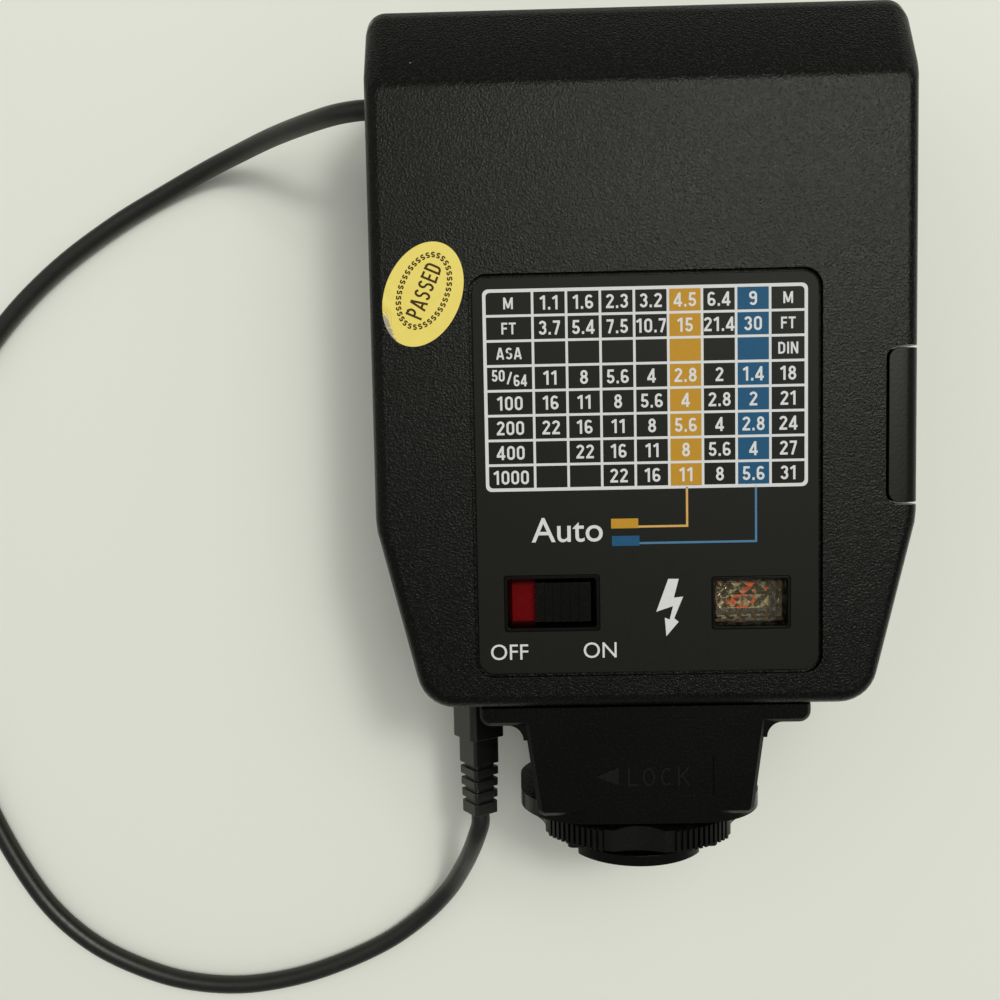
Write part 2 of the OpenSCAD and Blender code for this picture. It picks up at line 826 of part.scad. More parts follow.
module slide_switch() {
    can_w = switch_w - 1;
    can_h = 6.4;
    neck_x = knob_x + knob_w / 2 - (knob_w - slider_travel) / 2;
    slot_w = stem_w + slider_travel + 2 * slide_gap;
    color("silver")
    difference() {
        translate(at(switch_x, switch_up, board_top))
            slab(can_w, can_h, least_r, switch_can_h);
        translate(at(neck_x - slider_travel / 2, switch_up, board_top + switch_can_h - stem_l))
            slab(slot_w, stem_w + 2 * slide_gap, least_r / 2, stem_l + over);
    }
}

module lamp_bezel() {
    color("#121212")
    translate(at(lamp_x, lamp_up, 0))
        frame(lamp_w, lamp_h, lamp_border);
}

module pyramid(w, h, t) {
    polyhedron(
        points = [[-w / 2, -h / 2, 0], [w / 2, -h / 2, 0], [w / 2, h / 2, 0], [-w / 2, h / 2, 0], [0, 0, t]],
        faces = [[0, 1, 2], [0, 2, 3], [0, 4, 1], [1, 4, 2], [2, 4, 3], [3, 4, 0]]
    );
}

module test_button() {
    step_x = button_w / facets_x;
    step_y = button_h / facets_y;
    field_z = button_top - facet_h;
    color("#d9c9a0", 0.6)
    translate(at(lamp_x, lamp_up, 0)) {
        translate([0, 0, button_low])
            slab(button_w, button_h, least_r / 2, field_z - button_low);
        difference() {
            union() {
                translate([0, 0, button_rim_z])
                    slab(button_w + 2 * button_rim, button_h + 2 * button_rim, least_r, button_rim_t);
                translate([0, 0, button_rim_z])
                    slab(button_w, button_h, least_r / 2, button_low - button_rim_z + slice_t);
            }
            translate([0, 0, button_rim_z - over])
                slab(button_w - 2 * button_rim, button_h - 2 * button_rim, least_r / 2,
                     button_low - button_rim_z + over);
        }
        for (i = [0 : facets_x - 1], j = [0 : facets_y - 1])
            translate([(i - (facets_x - 1) / 2) * step_x, (j - (facets_y - 1) / 2) * step_y, field_z])
                pyramid(step_x, step_y, facet_h);
    }
}

module test_springs() {
    rise = button_rim_z - board_top;
    reach = button_w / 2;
    color("goldenrod")
    for (y = [-1, 1])
        translate(at(lamp_x, lamp_up + y * (button_h / 2 + button_rim - leaf_w / 2) + leaf_w / 2, board_top))
            rotate([90, 0, 0])
                linear_extrude(leaf_w)
                    polygon([[-reach / 2, 0], [reach / 3, 0], [reach / 2, leaf_t], [-reach / 2, leaf_t],
                             [-reach / 4, rise - leaf_t], [reach / 2, rise - leaf_t], [reach / 2, rise],
                             [-reach / 3, rise], [-reach / 2 - leaf_t, leaf_t]]);
}

module neon_lamp() {
    bulb = neon_d / 2;
    lead_r = 0.3;
    lead_l = 1.6;
    color("#ff7a2a", 0.7)
    translate(at(lamp_x - neon_l / 2, lamp_up, board_top + bulb)) {
        rod_x(bulb, neon_l - bulb);
        translate([neon_l - bulb, 0, 0])
            sphere(bulb);
        for (y = [-1, 1])
            translate([-lead_l, y * bulb / 2, 0])
                rod_x(lead_r, lead_l + bulb);
    }
}

module circuit_board() {
    color("#8a6a3a")
    translate(at(0, board_up + board_h / 2, board_top - board_t))
        slab(board_w, board_h, least_r, board_t);
}

module main_capacitor() {
    bead = 0.6;
    lead_r = 0.4;
    lead_l = 3;
    color("#20314a")
    translate([capacitor_x, body_y + capacitor_up, capacitor_z]) {
        rotate([0, 90, 0])
            rotate_extrude()
                polygon([[0, 0], [capacitor_d / 2 - bead, 0], [capacitor_d / 2, bead],
                         [capacitor_d / 2, capacitor_l - 3 * bead],
                         [capacitor_d / 2 - bead, capacitor_l - 2 * bead],
                         [capacitor_d / 2, capacitor_l - bead], [capacitor_d / 2 - bead, capacitor_l],
                         [0, capacitor_l]]);
        for (y = [-1, 1])
            translate([-lead_l, y * capacitor_d / 4, 0])
                rod_x(lead_r, lead_l + bead);
    }
}

// Transformer on the battery tray's upper wall
transformer_l = 15;
transformer_t = 13;
transformer_gap = 0.3;
core_t = 3;
winding_gap = 0.1;
transformer_at = [tray_start + tray_wall, cell_y + tray_w / 2 + transformer_gap, cell_z - transformer_t / 2];

module transformer_core() {
    color("#3a3a3c")
    translate(transformer_at)
        difference() {
            cube([transformer_l, transformer_w, transformer_t]);
            translate([core_t, -over, core_t])
                cube([transformer_l - 2 * core_t, transformer_w + 2 * over, transformer_t - 2 * core_t]);
        }
}

module transformer_winding() {
    coil_r = transformer_t / 2 - core_t - winding_gap;
    color("#b87333")
    translate(transformer_at + [core_t + winding_gap, transformer_w / 2, transformer_t / 2])
        rod_x(coil_r, transformer_l - 2 * core_t - 2 * winding_gap);
}

module trigger_coil() {
    coil_r = 2.4;
    coil_l = 8;
    cheek = 0.4;
    cheek_t = 0.8;
    color("#7a2f1d")
    translate(at(-board_w / 2 + 2, board_up + 12, board_top - board_t - coil_r - cheek)) {
        rod_x(coil_r, coil_l);
        for (x = [0, coil_l - cheek_t])
            translate([x, 0, 0])
                rod_x(coil_r + cheek, cheek_t);
    }
}

module thyristor() {
    case_w = 10;
    case_h = 9;
    case_t = 4.2;
    tab_h = 6;
    tab_t = 1.2;
    color("#2a2a2e")
    translate(at(4, board_up + 3, board_top - board_t - case_t)) {
        cube([case_w, case_h, case_t]);
        translate([0, case_h - slice_t, case_t - tab_t])
            cube([case_w, tab_h + slice_t, tab_t]);
    }
}

module reflector_form(skin, end) {
    rim = 0.5;
    past = skin > 0 ? over : 0;
    hull() {
        translate(at(-reflector_w / 2 + end, window_up - reflector_h / 2 + skin, reflector_z - past))
            cube([reflector_w - 2 * end, reflector_h - 2 * skin, rim + past]);
        translate(at(-reflector_w / 2 + end, window_up, reflector_z + reflector_t - reflector_back_r))
            rotate([0, 90, 0])
                cylinder(r = reflector_back_r - skin, h = reflector_w - 2 * end, $fn = loft_fn);
    }
}

module reflector() {
    color("#e8e8ea")
    difference() {
        reflector_form(0, 0);
        reflector_form(reflector_wall, reflector_wall);
        translate(at(-window_w, window_up, tube_z))
            rod_x(boot_r + seat, 2 * window_w);
    }
}

module flash_tube() {
    color("#dfe8ee", 0.5)
    translate(at(-tube_l / 2, window_up, tube_z))
        rod_x(tube_d / 2, tube_l);
}

module tube_electrodes() {
    color("silver")
    for (side = [-1, 1])
        translate(at(side * (tube_l / 2 + electrode_l / 2) - electrode_l / 2, window_up, tube_z))
            rod_x(electrode_r, electrode_l);
}

module tube_boots() {
    boot_x = reflector_w / 2 - reflector_wall - 1;
    color("#d8d4c8")
    for (side = [-1, 1])
        difference() {
            translate(at(side * (boot_x + boot_w / 2) - boot_w / 2, window_up, tube_z))
                rod_x(boot_r, boot_w);
            translate(at(-tube_l / 2, window_up, tube_z))
                rod_x(tube_d / 2 + seat, tube_l);
            translate(at(-window_w, window_up, tube_z))
                rod_x(electrode_r + seat, 2 * window_w);
        }
}

module front_window() {
    pane_w = window_w - 2 * window_fit;
    pane_h = window_h - 2 * window_fit;
    pitch = pane_h / window_ribs;
    cut = pitch * 0.4;
    color("#dfe6ea", 0.55)
    difference() {
        translate(at(0, window_up, 0)) {
            translate([0, 0, window_z])
                slab(pane_w, pane_h, top_corner_r - window_fit, wall - window_z + slice_t);
            translate([0, 0, wall])
                slab(window_w + 2 * window_lap, window_h + 2 * window_lap, top_corner_r, window_flange_t);
        }
        for (i = [1 : window_ribs - 1])
            translate(at(-pane_w / 2 + over, window_up + (i - window_ribs / 2) * pitch, window_z))
                rotate([45, 0, 0])
                    translate([0, -cut / 2, -cut / 2])
                        cube([pane_w - 2 * over, cut, cut]);
    }
}

module sensor_window() {
    color("#44202a", 0.8)
    translate(at(eye_x, eye_up, 0)) {
        translate([0, 0, wall / 2])
            cylinder(r = eye_r + eye_step - run, h = wall / 2);
        translate([0, 0, eye_sink])
            cylinder(r = eye_r - run, h = wall / 2);
    }
}

sensor_board_t = 1.2;
sensor_z = wall + rail_h;

module photo_sensor() {
    can_r = 2.2;
    color("#c9b27c")
    translate(at(eye_x, eye_up, mode_plate_z + mode_plate_t + slide_gap))
        cylinder(r = can_r, h = sensor_z - mode_plate_z - mode_plate_t - slide_gap);
}

module sensor_board() {
    color("#8a6a3a")
    translate(at(eye_x, eye_up, sensor_z))
        slab(12, mode_plate_h + 2 * slide_gap + 2 * rail_t, least_r, sensor_board_t);
}

module mode_slider() {
    plate_low = mode_x - mode_knob_w / 2 - mode_step;
    plate_high = eye_x + 2 * mode_step - 1;
    ribs = 3;
    color("#1b1b1b")
    difference() {
        union() {
            translate(at(mode_x, eye_up, mode_knob_z))
                slab(mode_knob_w, mode_knob_h, least_r, mode_plate_z - mode_knob_z + mode_plate_t / 2);
            translate(at((plate_low + plate_high) / 2, eye_up, mode_plate_z))
                slab(plate_high - plate_low, mode_plate_h, least_r, mode_plate_t);
        }
        for (i = [0 : ribs - 1])
            translate(at(mode_x + (i - (ribs - 1) / 2) * slider_pitch - rib_w / 2, eye_up - mode_knob_h,
                         mode_knob_z - over))
                cube([rib_w, 2 * mode_knob_h, over + rib_h]);
        for (i = [0 : len(mode_stops) - 1])
            translate(at(eye_x + (i - 1) * mode_step, eye_up, mode_plate_z - over))
                cylinder(r = mode_stops[i] / 2, h = mode_plate_t + 2 * over);
    }
}

module battery_tray() {
    color("#1c1c1c")
    difference() {
        translate([tray_start, cell_y - tray_w / 2, wall])
            cube([tray_end - tray_start, tray_w, tray_t]);
        for (z = [-1, 1])
            translate([tray_floor, cell_y, cell_z + z * cell_pitch / 2])
                rod_x(tray_bore, tray_end - tray_floor + over);
    }
}

// A cell along X with its nub at its end
module cell() {
    bead = 0.5;
    rotate([0, 90, 0])
        rotate_extrude()
            polygon([[0, 0], [cell_d / 2 - bead, 0], [cell_d / 2, bead],
                     [cell_d / 2, cell_l - nub_l - bead], [cell_d / 2 - bead, cell_l - nub_l],
                     [nub_r, cell_l - nub_l], [nub_r, cell_l], [0, cell_l]]);
}

module battery_cells() {
    color("#b98b3c") {
        translate([cell_start, cell_y, cell_z - cell_pitch / 2])
            cell();
        translate([cell_end, cell_y, cell_z + cell_pitch / 2])
            rotate([0, 0, 180])
                cell();
    }
}

module tray_contacts() {
    color("#d0c9a8") {
        for (z = [-1, 1])
            translate([tray_floor, cell_y - contact_side / 2, cell_z + z * cell_pitch / 2 - contact_side / 2])
                cube([contact_t, contact_side, contact_side]);
        translate([tray_floor, cell_y, cell_z + cell_pitch / 2])
            rod_x(nub_r, spring_l + contact_t);
    }
}

module cell_spring() {
    r0 = 4.4;
    r1 = 2.6;
    color("#d0c9a8")
    translate([tray_floor + contact_t + spring_wire / 2, cell_y, cell_z - cell_pitch / 2])
        rotate([0, 90, 0])
            swept_tube(coil(spring_turns, spring_l - spring_wire, r0, r1), spring_wire / 2, 6, [0, 0, 1]);
}

module battery_door() {
    barrel_l = door_h - 2 * ear_l - 2 * barrel_gap;
    plate_low = hinge_z + hinge_r + barrel_gap;
    color("#1e1e1e")
    difference() {
        union() {
            intersection() {
                body_form();
                union() {
                    translate([inner_x, door_y, plate_low])
                        cube([wall + over, door_h, body_t - plate_low]);
                    translate([side_x, cell_y, inner_rear])
                        slab(2 * door_lip, door_h, door_r, wall);
                }
            }
            translate([inner_x, cell_y - barrel_l / 2, hinge_z])
                cube([wall, barrel_l, plate_low - hinge_z + slice_t]);
            translate([hinge_x, cell_y - barrel_l / 2, hinge_z])
                rod_y(hinge_r, barrel_l);
        }
        translate([hinge_x, door_y, hinge_z])
            rod_y(pin_r + run, door_h);
    }
}

module door_contact() {
    strip_l = cell_pitch + 2 * door_strip_past;
    pad_h = 3;
    color("#d0c9a8")
    translate([inner_x, cell_y - door_contact_w / 2, cell_z - strip_l / 2]) {
        translate([-door_pad - contact_t, 0, 0])
            cube([contact_t, door_contact_w, strip_l]);
        for (z = [0, strip_l - pad_h])
            translate([-door_pad - slice_t, 0, z])
                cube([door_pad + slice_t, door_contact_w, pad_h]);
    }
}

module door_hinge_pin() {
    color("silver")
    translate([hinge_x, door_y, hinge_z])
        rod_y(pin_r, door_h);
}

// A block with rounded edges around corner circles given as [x, y, r]
module soft_block(circles, low, high, edge) {
    hull()
        for (c = circles, side = [-1, 1])
            translate([side * c[0], c[1], low]) {
                translate([0, 0, edge])
                    cylinder(r = c[2], h = high - low - 2 * edge, $fn = loft_fn);
                cylinder(r = c[2] - edge, h = high - low, $fn = loft_fn);
            }
}

module foot_bracket() {
    high = body_t - bracket_back;
    low = high - bracket_t;
    under = body_y - flange_t;
    color("#1a1a1a")
    difference() {
        union() {
            soft_block([[flange_w / 2 - flange_corner_r, under + flange_corner_r, flange_corner_r],
                        [flange_w / 2 - flange_top_r, body_y - flange_gap - flange_top_r, flange_top_r]],
                       low, high, bracket_edge);
            soft_block([[bracket_w / 2 - bracket_corner_r, body_y - flange_t / 2, bracket_corner_r],
                        [bracket_low_w / 2 - bracket_corner_r, bracket_y + bracket_corner_r,
                         bracket_corner_r]],
                       low, high, bracket_edge);
            translate([0, base_y, (low + high) / 2])
                rotate([-90, 0, 0])
                    slab(base_w, bracket_t, base_r, base_t + bracket_corner_r);
            for (side = [0, 1])
                mirror([side, 0, 0])
                    translate([bracket_w / 2 - bracket_corner_r / 2, under - bracket_fillet,
                               low + bracket_edge])
                        linear_extrude(bracket_t - 2 * bracket_edge)
                            difference() {
                                square([bracket_fillet + bracket_corner_r / 2,
                                        bracket_fillet + flange_t / 4]);
                                translate([bracket_fillet + bracket_corner_r / 2, 0])
                                    circle(bracket_fillet);
                            }
        }
        translate([0, bracket_y + plaque_up, high - plaque_t])
            linear_extrude(over)
                square([plaque_w, plaque_h], center = true);
        translate([plug_x, under - over, plug_z])
            rod_y(plug_side * sqrt(0.5) + plug_relief, flange_t + 2 * over);
        translate([0, base_y - over, foot_z])
            rod_y(stud_r + seat, base_t + stud_in + over);
        bracket_screw_places()
            translate([0, -bracket_screw_l, 0])
                rod_y(bracket_screw_r + seat, bracket_screw_l + over);
    }
}

module lock_stud() {
    top_y = bracket_y + stud_in;
    low_y = foot_y + foot_t / 2;
    color("#c9a85c")
    difference() {
        translate([0, low_y, foot_z])
            rod_y(stud_r, top_y - low_y);
        translate([0, low_y - over, foot_z])
            rod_y(stud_bore_r, stud_bore_l + over);
    }
}

module lock_wheel() {
    bore_r = stud_r + thread_gap;
    rim_r = wheel_r - rib_tall;
    rim_h = wheel_t - wheel_chamfer_h;
    color("#161616")
    on_foot_axis(wheel_y)
        rotate(wheel_rest)
        difference() {
            union() {
                rotate_extrude()
                    polygon([[bore_r, 0], [rim_r, 0], [rim_r, rim_h], [rim_r - wheel_chamfer, wheel_t],
                             [bore_r, wheel_t]]);
                linear_extrude(rim_h)
                    for (i = [0 : wheel_ribs - 1])
                        let (
                            a = 360 * i / wheel_ribs,
                            off = abs((a + scallop_step / 2) % scallop_step - scallop_step / 2)
                        )
                            if (off > scallop_a + 180 / wheel_ribs)
                                rotate(a)
                                    translate([rim_r - rib_tall, -rib_w / 2])
                                        square([2 * rib_tall, rib_w]);
            }
            for (i = [1 : scallops])
                rotate(i * scallop_step)
                    translate([wheel_r - scallop + scallop_r, 0, -over])
                        cylinder(r = scallop_r, h = wheel_t + 2 * over);
        }
}

module clamp_plate() {
    color("#191919")
    on_foot_axis(clamp_y)
        linear_extrude(clamp_t)
            difference() {
                rounded(clamp_w, clamp_l, clamp_r);
                square([neck_w + 2 * clamp_run, neck_l + 2 * clamp_run], center = true);
            }
}

module foot_plate() {
    neck_h = shoe_gap + clamp_t - clamp_travel;
    color("#141414")
    on_foot_axis(foot_y)
        difference() {
            union() {
                linear_extrude(foot_t)
                    intersection() {
                        square([foot_w, foot_l], center = true);
                        union() {
                            translate([0, foot_r - foot_l / 2])
                                circle(foot_r);
                            translate([-foot_w / 2, foot_r - foot_l / 2])
                                square([foot_w, foot_l]);
                        }
                    }
                linear_extrude(foot_t + neck_h)
                    square([neck_w, neck_l], center = true);
            }
            translate([0, 0, foot_t / 2])
                cylinder(r = stud_r + seat, h = foot_t + neck_h);
            translate([0, 0, -over])
                cylinder(r = stud_bore_r, h = foot_t + 2 * over);
        }
}

module pin_insulator() {
    color("#e6e0d0")
    on_foot_axis(foot_y)
        difference() {
            cylinder(r = stud_bore_r - seat, h = insulator_l);
            translate([0, 0, -over])
                cylinder(r = pin_tip_r + run, h = insulator_l + 2 * over);
        }
}

module contact_pin() {
    nose = 0.5;
    collar = pin_out + insulator_l + run;
    color("#d8b25a")
    on_foot_axis(foot_y - pin_out)
        rotate_extrude()
            polygon([[0, 0], [pin_tip_r - nose, 0], [pin_tip_r, nose], [pin_tip_r, collar],
                     [pin_collar_r, collar], [pin_collar_r, collar + pin_collar_t],
                     [0, collar + pin_collar_t]]);
}

module contact_spring() {
    start = foot_y + insulator_l + run + pin_collar_t;
    turn_r = pin_collar_r - pin_wire;
    color("silver")
    on_foot_axis(start + pin_wire / 2)
        swept_tube(coil(pin_spring_turns, pin_spring_l - pin_wire, turn_r, turn_r),
                   pin_wire / 2, 6, [0, 0, 1]);
}

module case_screws() {
    slot_w = 0.6;
    color("silver")
    for (b = bosses)
        translate(at(b[0], b[1], head_sink - head_t))
            difference() {
                union() {
                    cylinder(r = head_r, h = head_t);
                    cylinder(r = screw_r, h = split_z + screw_bite - head_sink + head_t);
                }
                for (a = [0, 90])
                    rotate(a)
                        translate([-head_r * 0.6, -slot_w / 2, -over])
                            cube([head_r * 1.2, slot_w, over + head_t / 2]);
            }
}

module bracket_screws() {
    cap_r = 2.2;
    cap_t = 1.6;
    color("silver")
    bracket_screw_places() {
        translate([0, -bracket_screw_l, 0])
            rod_y(bracket_screw_r, bracket_screw_l + wall + cap_t);
        translate([0, wall, 0])
            rod_y(cap_r, cap_t);
    }
}

module plug_pin_places() {
    for (x = [-1, 1])
        translate([plug_x + x * plug_pin_pitch / 2, body_y, plug_z])
            children();
}

module sync_socket() {
    color("#101010")
    difference() {
        union() {
            translate([plug_x, body_y, plug_z])
                rod_y(socket_r, socket_l);
            translate([plug_x, body_y + wall, plug_z])
                rod_y(socket_r + socket_flange, socket_flange);
        }
        plug_pin_places()
            translate([0, -over, 0])
                rod_y(plug_pin_r + run, plug_pin_l + 2 * over);
    }
}

module plug_pins() {
    color("#d0c9a8")
    plug_pin_places()
        rod_y(plug_pin_r, plug_pin_l);
}

module sync_plug() {
    step = boot_l * 0.6 / boot_grooves;
    core = boot_end_side - 2 * groove_deep;
    color("#151515")
    translate([plug_x, body_y - plug_l - boot_l, plug_z])
        rotate([-90, 0, 0])
            rotate([0, 0, plug_turn]) {
                translate([0, 0, boot_l])
                    slab(plug_side, plug_side, plug_r, plug_l);
                slab(core, core, plug_r / 2, boot_l + slice_t);
                for (i = [0 : boot_grooves]) {
                    low = i * step + (i == 0 ? 0 : groove_w);
                    high = i == boot_grooves ? boot_l + slice_t : (i + 1) * step;
                    side = boot_end_side + (boot_side - boot_end_side) * i / boot_grooves;
                    translate([0, 0, low])
                        slab(side, side, plug_r / 2, high - low);
                }
            }
}

module sync_cord() {
    color("#1a1a1a")
    swept_tube(spline(route, route_steps), cord_d / 2, cord_sides, [0, 0, 1]);
}

module plug_holder() {
    bore = grip_d / 2 + run;
    depth = grip_l - wall + sleeve_l;
    color("#1c1c1c")
    translate(at(-inner_x, park_up, park_z))
        difference() {
            rod_x(bore + holder_wall, depth + holder_wall);
            translate([-over, 0, 0])
                rod_x(bore, grip_l - wall + over);
            translate([-over, 0, 0])
                rod_x(sleeve_r + run, depth + over);
        }
}

module pc_plug() {
    rim = 0.4;
    color("#151515")
    translate(at(-side_x, park_up, park_z))
        rotate([0, 90, 0])
            rotate_extrude()
                polygon([[0, 0], [grip_d / 2 - rim, 0], [grip_d / 2, rim], [grip_d / 2, grip_l],
                         [0, grip_l]]);
}

module pc_sleeve() {
    sleeve_wall = 0.4;
    core_r = 0.6;
    color("#c8c8cc")
    translate(at(-side_x + grip_l, park_up, park_z)) {
        difference() {
            rod_x(sleeve_r, sleeve_l);
            translate([sleeve_wall, 0, 0])
                rod_x(sleeve_r - sleeve_wall, sleeve_l);
        }
        rod_x(core_r, sleeve_l);
    }
}

rear_shell();
front_shell();
label_plate();
switch_bezel();
switch_flag();
power_slider();
slide_switch();
lamp_bezel();
test_button();
test_springs();
neon_lamp();
circuit_board();
main_capacitor();
transformer_core();
transformer_winding();
trigger_coil();
thyristor();
reflector();
flash_tube();
tube_electrodes();
tube_boots();
front_window();
sensor_window();
photo_sensor();
sensor_board();
mode_slider();
battery_tray();
battery_cells();
tray_contacts();
cell_spring();
battery_door();
door_contact();
door_hinge_pin();
foot_bracket();
lock_stud();
lock_wheel();
clamp_plate();
foot_plate();
pin_insulator();
contact_pin();
contact_spring();
case_screws();
bracket_screws();
sync_socket();
sync_plug();
plug_pins();
sync_cord();
plug_holder();
pc_plug();
pc_sleeve();
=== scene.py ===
import math

import bmesh
import bpy
from mathutils import Euler, Matrix, Vector


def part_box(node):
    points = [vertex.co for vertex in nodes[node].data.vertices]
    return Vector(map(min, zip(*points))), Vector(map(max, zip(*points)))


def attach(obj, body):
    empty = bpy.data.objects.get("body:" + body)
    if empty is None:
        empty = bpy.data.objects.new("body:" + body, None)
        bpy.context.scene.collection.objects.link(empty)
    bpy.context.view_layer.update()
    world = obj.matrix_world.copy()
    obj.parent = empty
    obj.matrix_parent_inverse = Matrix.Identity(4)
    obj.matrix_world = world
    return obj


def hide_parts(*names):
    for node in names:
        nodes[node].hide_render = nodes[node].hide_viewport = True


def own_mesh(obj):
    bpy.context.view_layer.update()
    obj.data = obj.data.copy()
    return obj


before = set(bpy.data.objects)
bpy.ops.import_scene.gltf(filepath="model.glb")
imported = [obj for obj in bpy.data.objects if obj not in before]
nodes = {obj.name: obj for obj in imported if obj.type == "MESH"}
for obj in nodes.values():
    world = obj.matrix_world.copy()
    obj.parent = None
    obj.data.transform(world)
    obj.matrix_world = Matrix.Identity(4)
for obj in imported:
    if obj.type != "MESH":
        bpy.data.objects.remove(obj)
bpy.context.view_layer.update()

# Dresses the shoe mount flash: lengths below are in millimetres and become metres through mm.
mm = 0.001
scene = bpy.context.scene
scene.view_settings.view_transform = "Standard"


def linear(hexText):
    channels = [int(hexText[i:i + 2], 16) / 255 for i in (1, 3, 5)]
    return tuple(c / 12.92 if c <= 0.04045 else ((c + 0.055) / 1.055) ** 2.4 for c in channels) + (1.0,)


def addNode(tree, kind, inputs=None, **settings):
    # inputs: socket name or number to a value, or to the socket that feeds it
    node = tree.nodes.new(kind)
    for name, value in settings.items():
        setattr(node, name, value)
    for name, value in (inputs or {}).items():
        if isinstance(value, bpy.types.NodeSocket):
            tree.links.new(value, node.inputs[name])
        else:
            node.inputs[name].default_value = value
    return node


def newObject(name, mesh):
    piece = bpy.data.objects.new(name, mesh)
    scene.collection.objects.link(piece)
    return piece


def bakedMesh(piece):
    # the modifiers' result as a plain mesh, and the modifiers gone
    graph = bpy.context.evaluated_depsgraph_get()
    mesh = bpy.data.meshes.new_from_object(piece.evaluated_get(graph))
    piece.modifiers.clear()
    piece.data = mesh
    return piece


def meshFrom(shape, name):
    # a bmesh written out as a mesh, and freed
    mesh = bpy.data.meshes.new(name)
    shape.to_mesh(mesh)
    shape.free()
    return mesh


def plainMaterial(name, **values):
    # values: the shader's sockets by name, with _ for a space
    material = bpy.data.materials.new(name)
    material.use_nodes = True
    shader = material.node_tree.nodes["Principled BSDF"]
    for socket, value in values.items():
        shader.inputs[socket.replace("_", " ")].default_value = value
    return material, material.node_tree, shader


# Camera: solved from the case's corners in the photograph
cameraSetup = {
    "place": (-17.47, 4.25, 183.03),
    "turn": (-3.94, 0.97, -1.14),     # degrees, about X, Y and Z
    "focal": 1050 / 1000 * 36,        # 1050 pixels on a 1000 pixel frame
    "sensor": 36,
    "nearest": 5,
}
cameraData = bpy.data.cameras.new("camera")
cameraData.lens = cameraSetup["focal"]
cameraData.sensor_width = cameraSetup["sensor"]
cameraData.clip_start = cameraSetup["nearest"] * mm
camera = newObject("camera", cameraData)
camera.location = Vector(cameraSetup["place"]) * mm
camera.rotation_euler = Euler([math.radians(a) for a in cameraSetup["turn"]], "XYZ")
scene.camera = camera
print("camera set")

# Sync lead: the route of the part's solid, on one smooth curve
lead = {
    "diameter": 3.0,
    "length": 300,
    "steps": 6,                       # points of the curve for each point of the route
    "roundSteps": 5,
    "route": [
        (-24.75, -57.85, 16), (-24.75, -59.85, 16),
        (-25.4, -62.2, 15.3), (-26.6, -66, 12.5), (-28.3, -70.5, 8.5), (-31, -76, 4.5),
        (-35.5, -81.5, 2.2), (-42, -86.5, 1.5), (-50, -90.3, 1.5), (-59, -93.2, 1.5), (-69, -94.6, 1.5),
        (-79, -93.7, 1.5), (-88, -90.7, 1.5), (-96, -86.2, 1.5), (-103, -79.5, 1.5), (-109, -70, 1.5),
        (-114, -59, 1.5), (-118, -47, 1.5), (-120.5, -35, 1.5), (-121.5, -22, 1.5), (-120.5, -9.5, 1.5),
        (-117.5, 2.5, 1.5), (-112.5, 14.5, 1.5), (-105, 24.6, 1.5), (-96, 33.1, 1.5), (-86, 40.1, 1.5),
        (-77, 45.1, 1.7), (-69, 48.6, 3.5), (-62, 50.4, 7.5), (-56, 51.2, 12.5), (-50, 51.4, 18),
        (-44.5, 51.4, 22.7), (-40.5, 51.4, 24.7), (-37.7, 51.4, 25),
    ],
}


def smoothRoute(points, steps):
    # a smooth curve through all the points
    p = [Vector(q) * mm for q in points]
    last = len(p) - 1
    out = []
    for i in range(last):
        a, b, c, d = p[max(i - 1, 0)], p[i], p[i + 1], p[min(i + 2, last)]
        for k in range(steps):
            f = k / steps
            out.append(0.5 * (2 * b + (c - a) * f + (2 * a - 5 * b + 4 * c - d) * f ** 2
                              + (3 * b - a - 3 * c + d) * f ** 3))
    return out + [p[last]]


leadPoints = smoothRoute(lead["route"], lead["steps"])
leadCurve = bpy.data.curves.new("syncLead", "CURVE")
leadCurve.dimensions = "3D"
leadCurve.bevel_depth = 1.0           # times each point's radius, which sets the thickness
leadCurve.bevel_resolution = lead["roundSteps"]
leadCurve.use_fill_caps = True
leadSpline = leadCurve.splines.new("POLY")
leadSpline.points.add(len(leadPoints) - 1)
for point, co in zip(leadSpline.points, leadPoints):
    point.co = (*co, 1)
    point.radius = lead["diameter"] / 2 * mm
leadSpline.use_smooth = True
leadPiece = newObject("syncLead", leadCurve)
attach(leadPiece, "flash_body")
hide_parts("sync_cord")
print("sync lead laid, points:", len(leadPoints))

# Floor and studio light
stageSetup = {
    "floorColour": "#ECEEE0",
    "floorRoughness": 0.85,
    "floorSpecular": 0.1,
    "floorSize": 9000,
    "worldColour": "#F4F5F6",
    "worldStrength": 0.35,
    # place and size in mm, power in W
    "lamps": {
        "keyLight": {"place": (280, 390, 1120), "size": 800, "power": 6.0},
        "glintLight": {"place": (360, 400, 1120), "size": 200, "power": 3.3},    # picks out the grain
        "fillLight": {"place": (-700, 250, 600), "size": 800, "power": 0.7},
    },
}


def aimedLight(name, place, size, power):
    # a square lamp that looks at the origin
    data = bpy.data.lights.new(name, "AREA")
    data.shape = "SQUARE"
    data.size = size * mm
    data.energy = power
    lamp = newObject(name, data)
    lamp.location = Vector(place) * mm
    lamp.rotation_euler = (-lamp.location).to_track_quat("-Z", "Y").to_euler()


floorMesh = bpy.data.meshes.new("floor")
half = stageSetup["floorSize"] / 2 * mm
floorCorners = [(-half, -half, 0), (half, -half, 0), (half, half, 0), (-half, half, 0)]
floorMesh.from_pydata(floorCorners, [], [(0, 1, 2, 3)])
floor = newObject("floor", floorMesh)
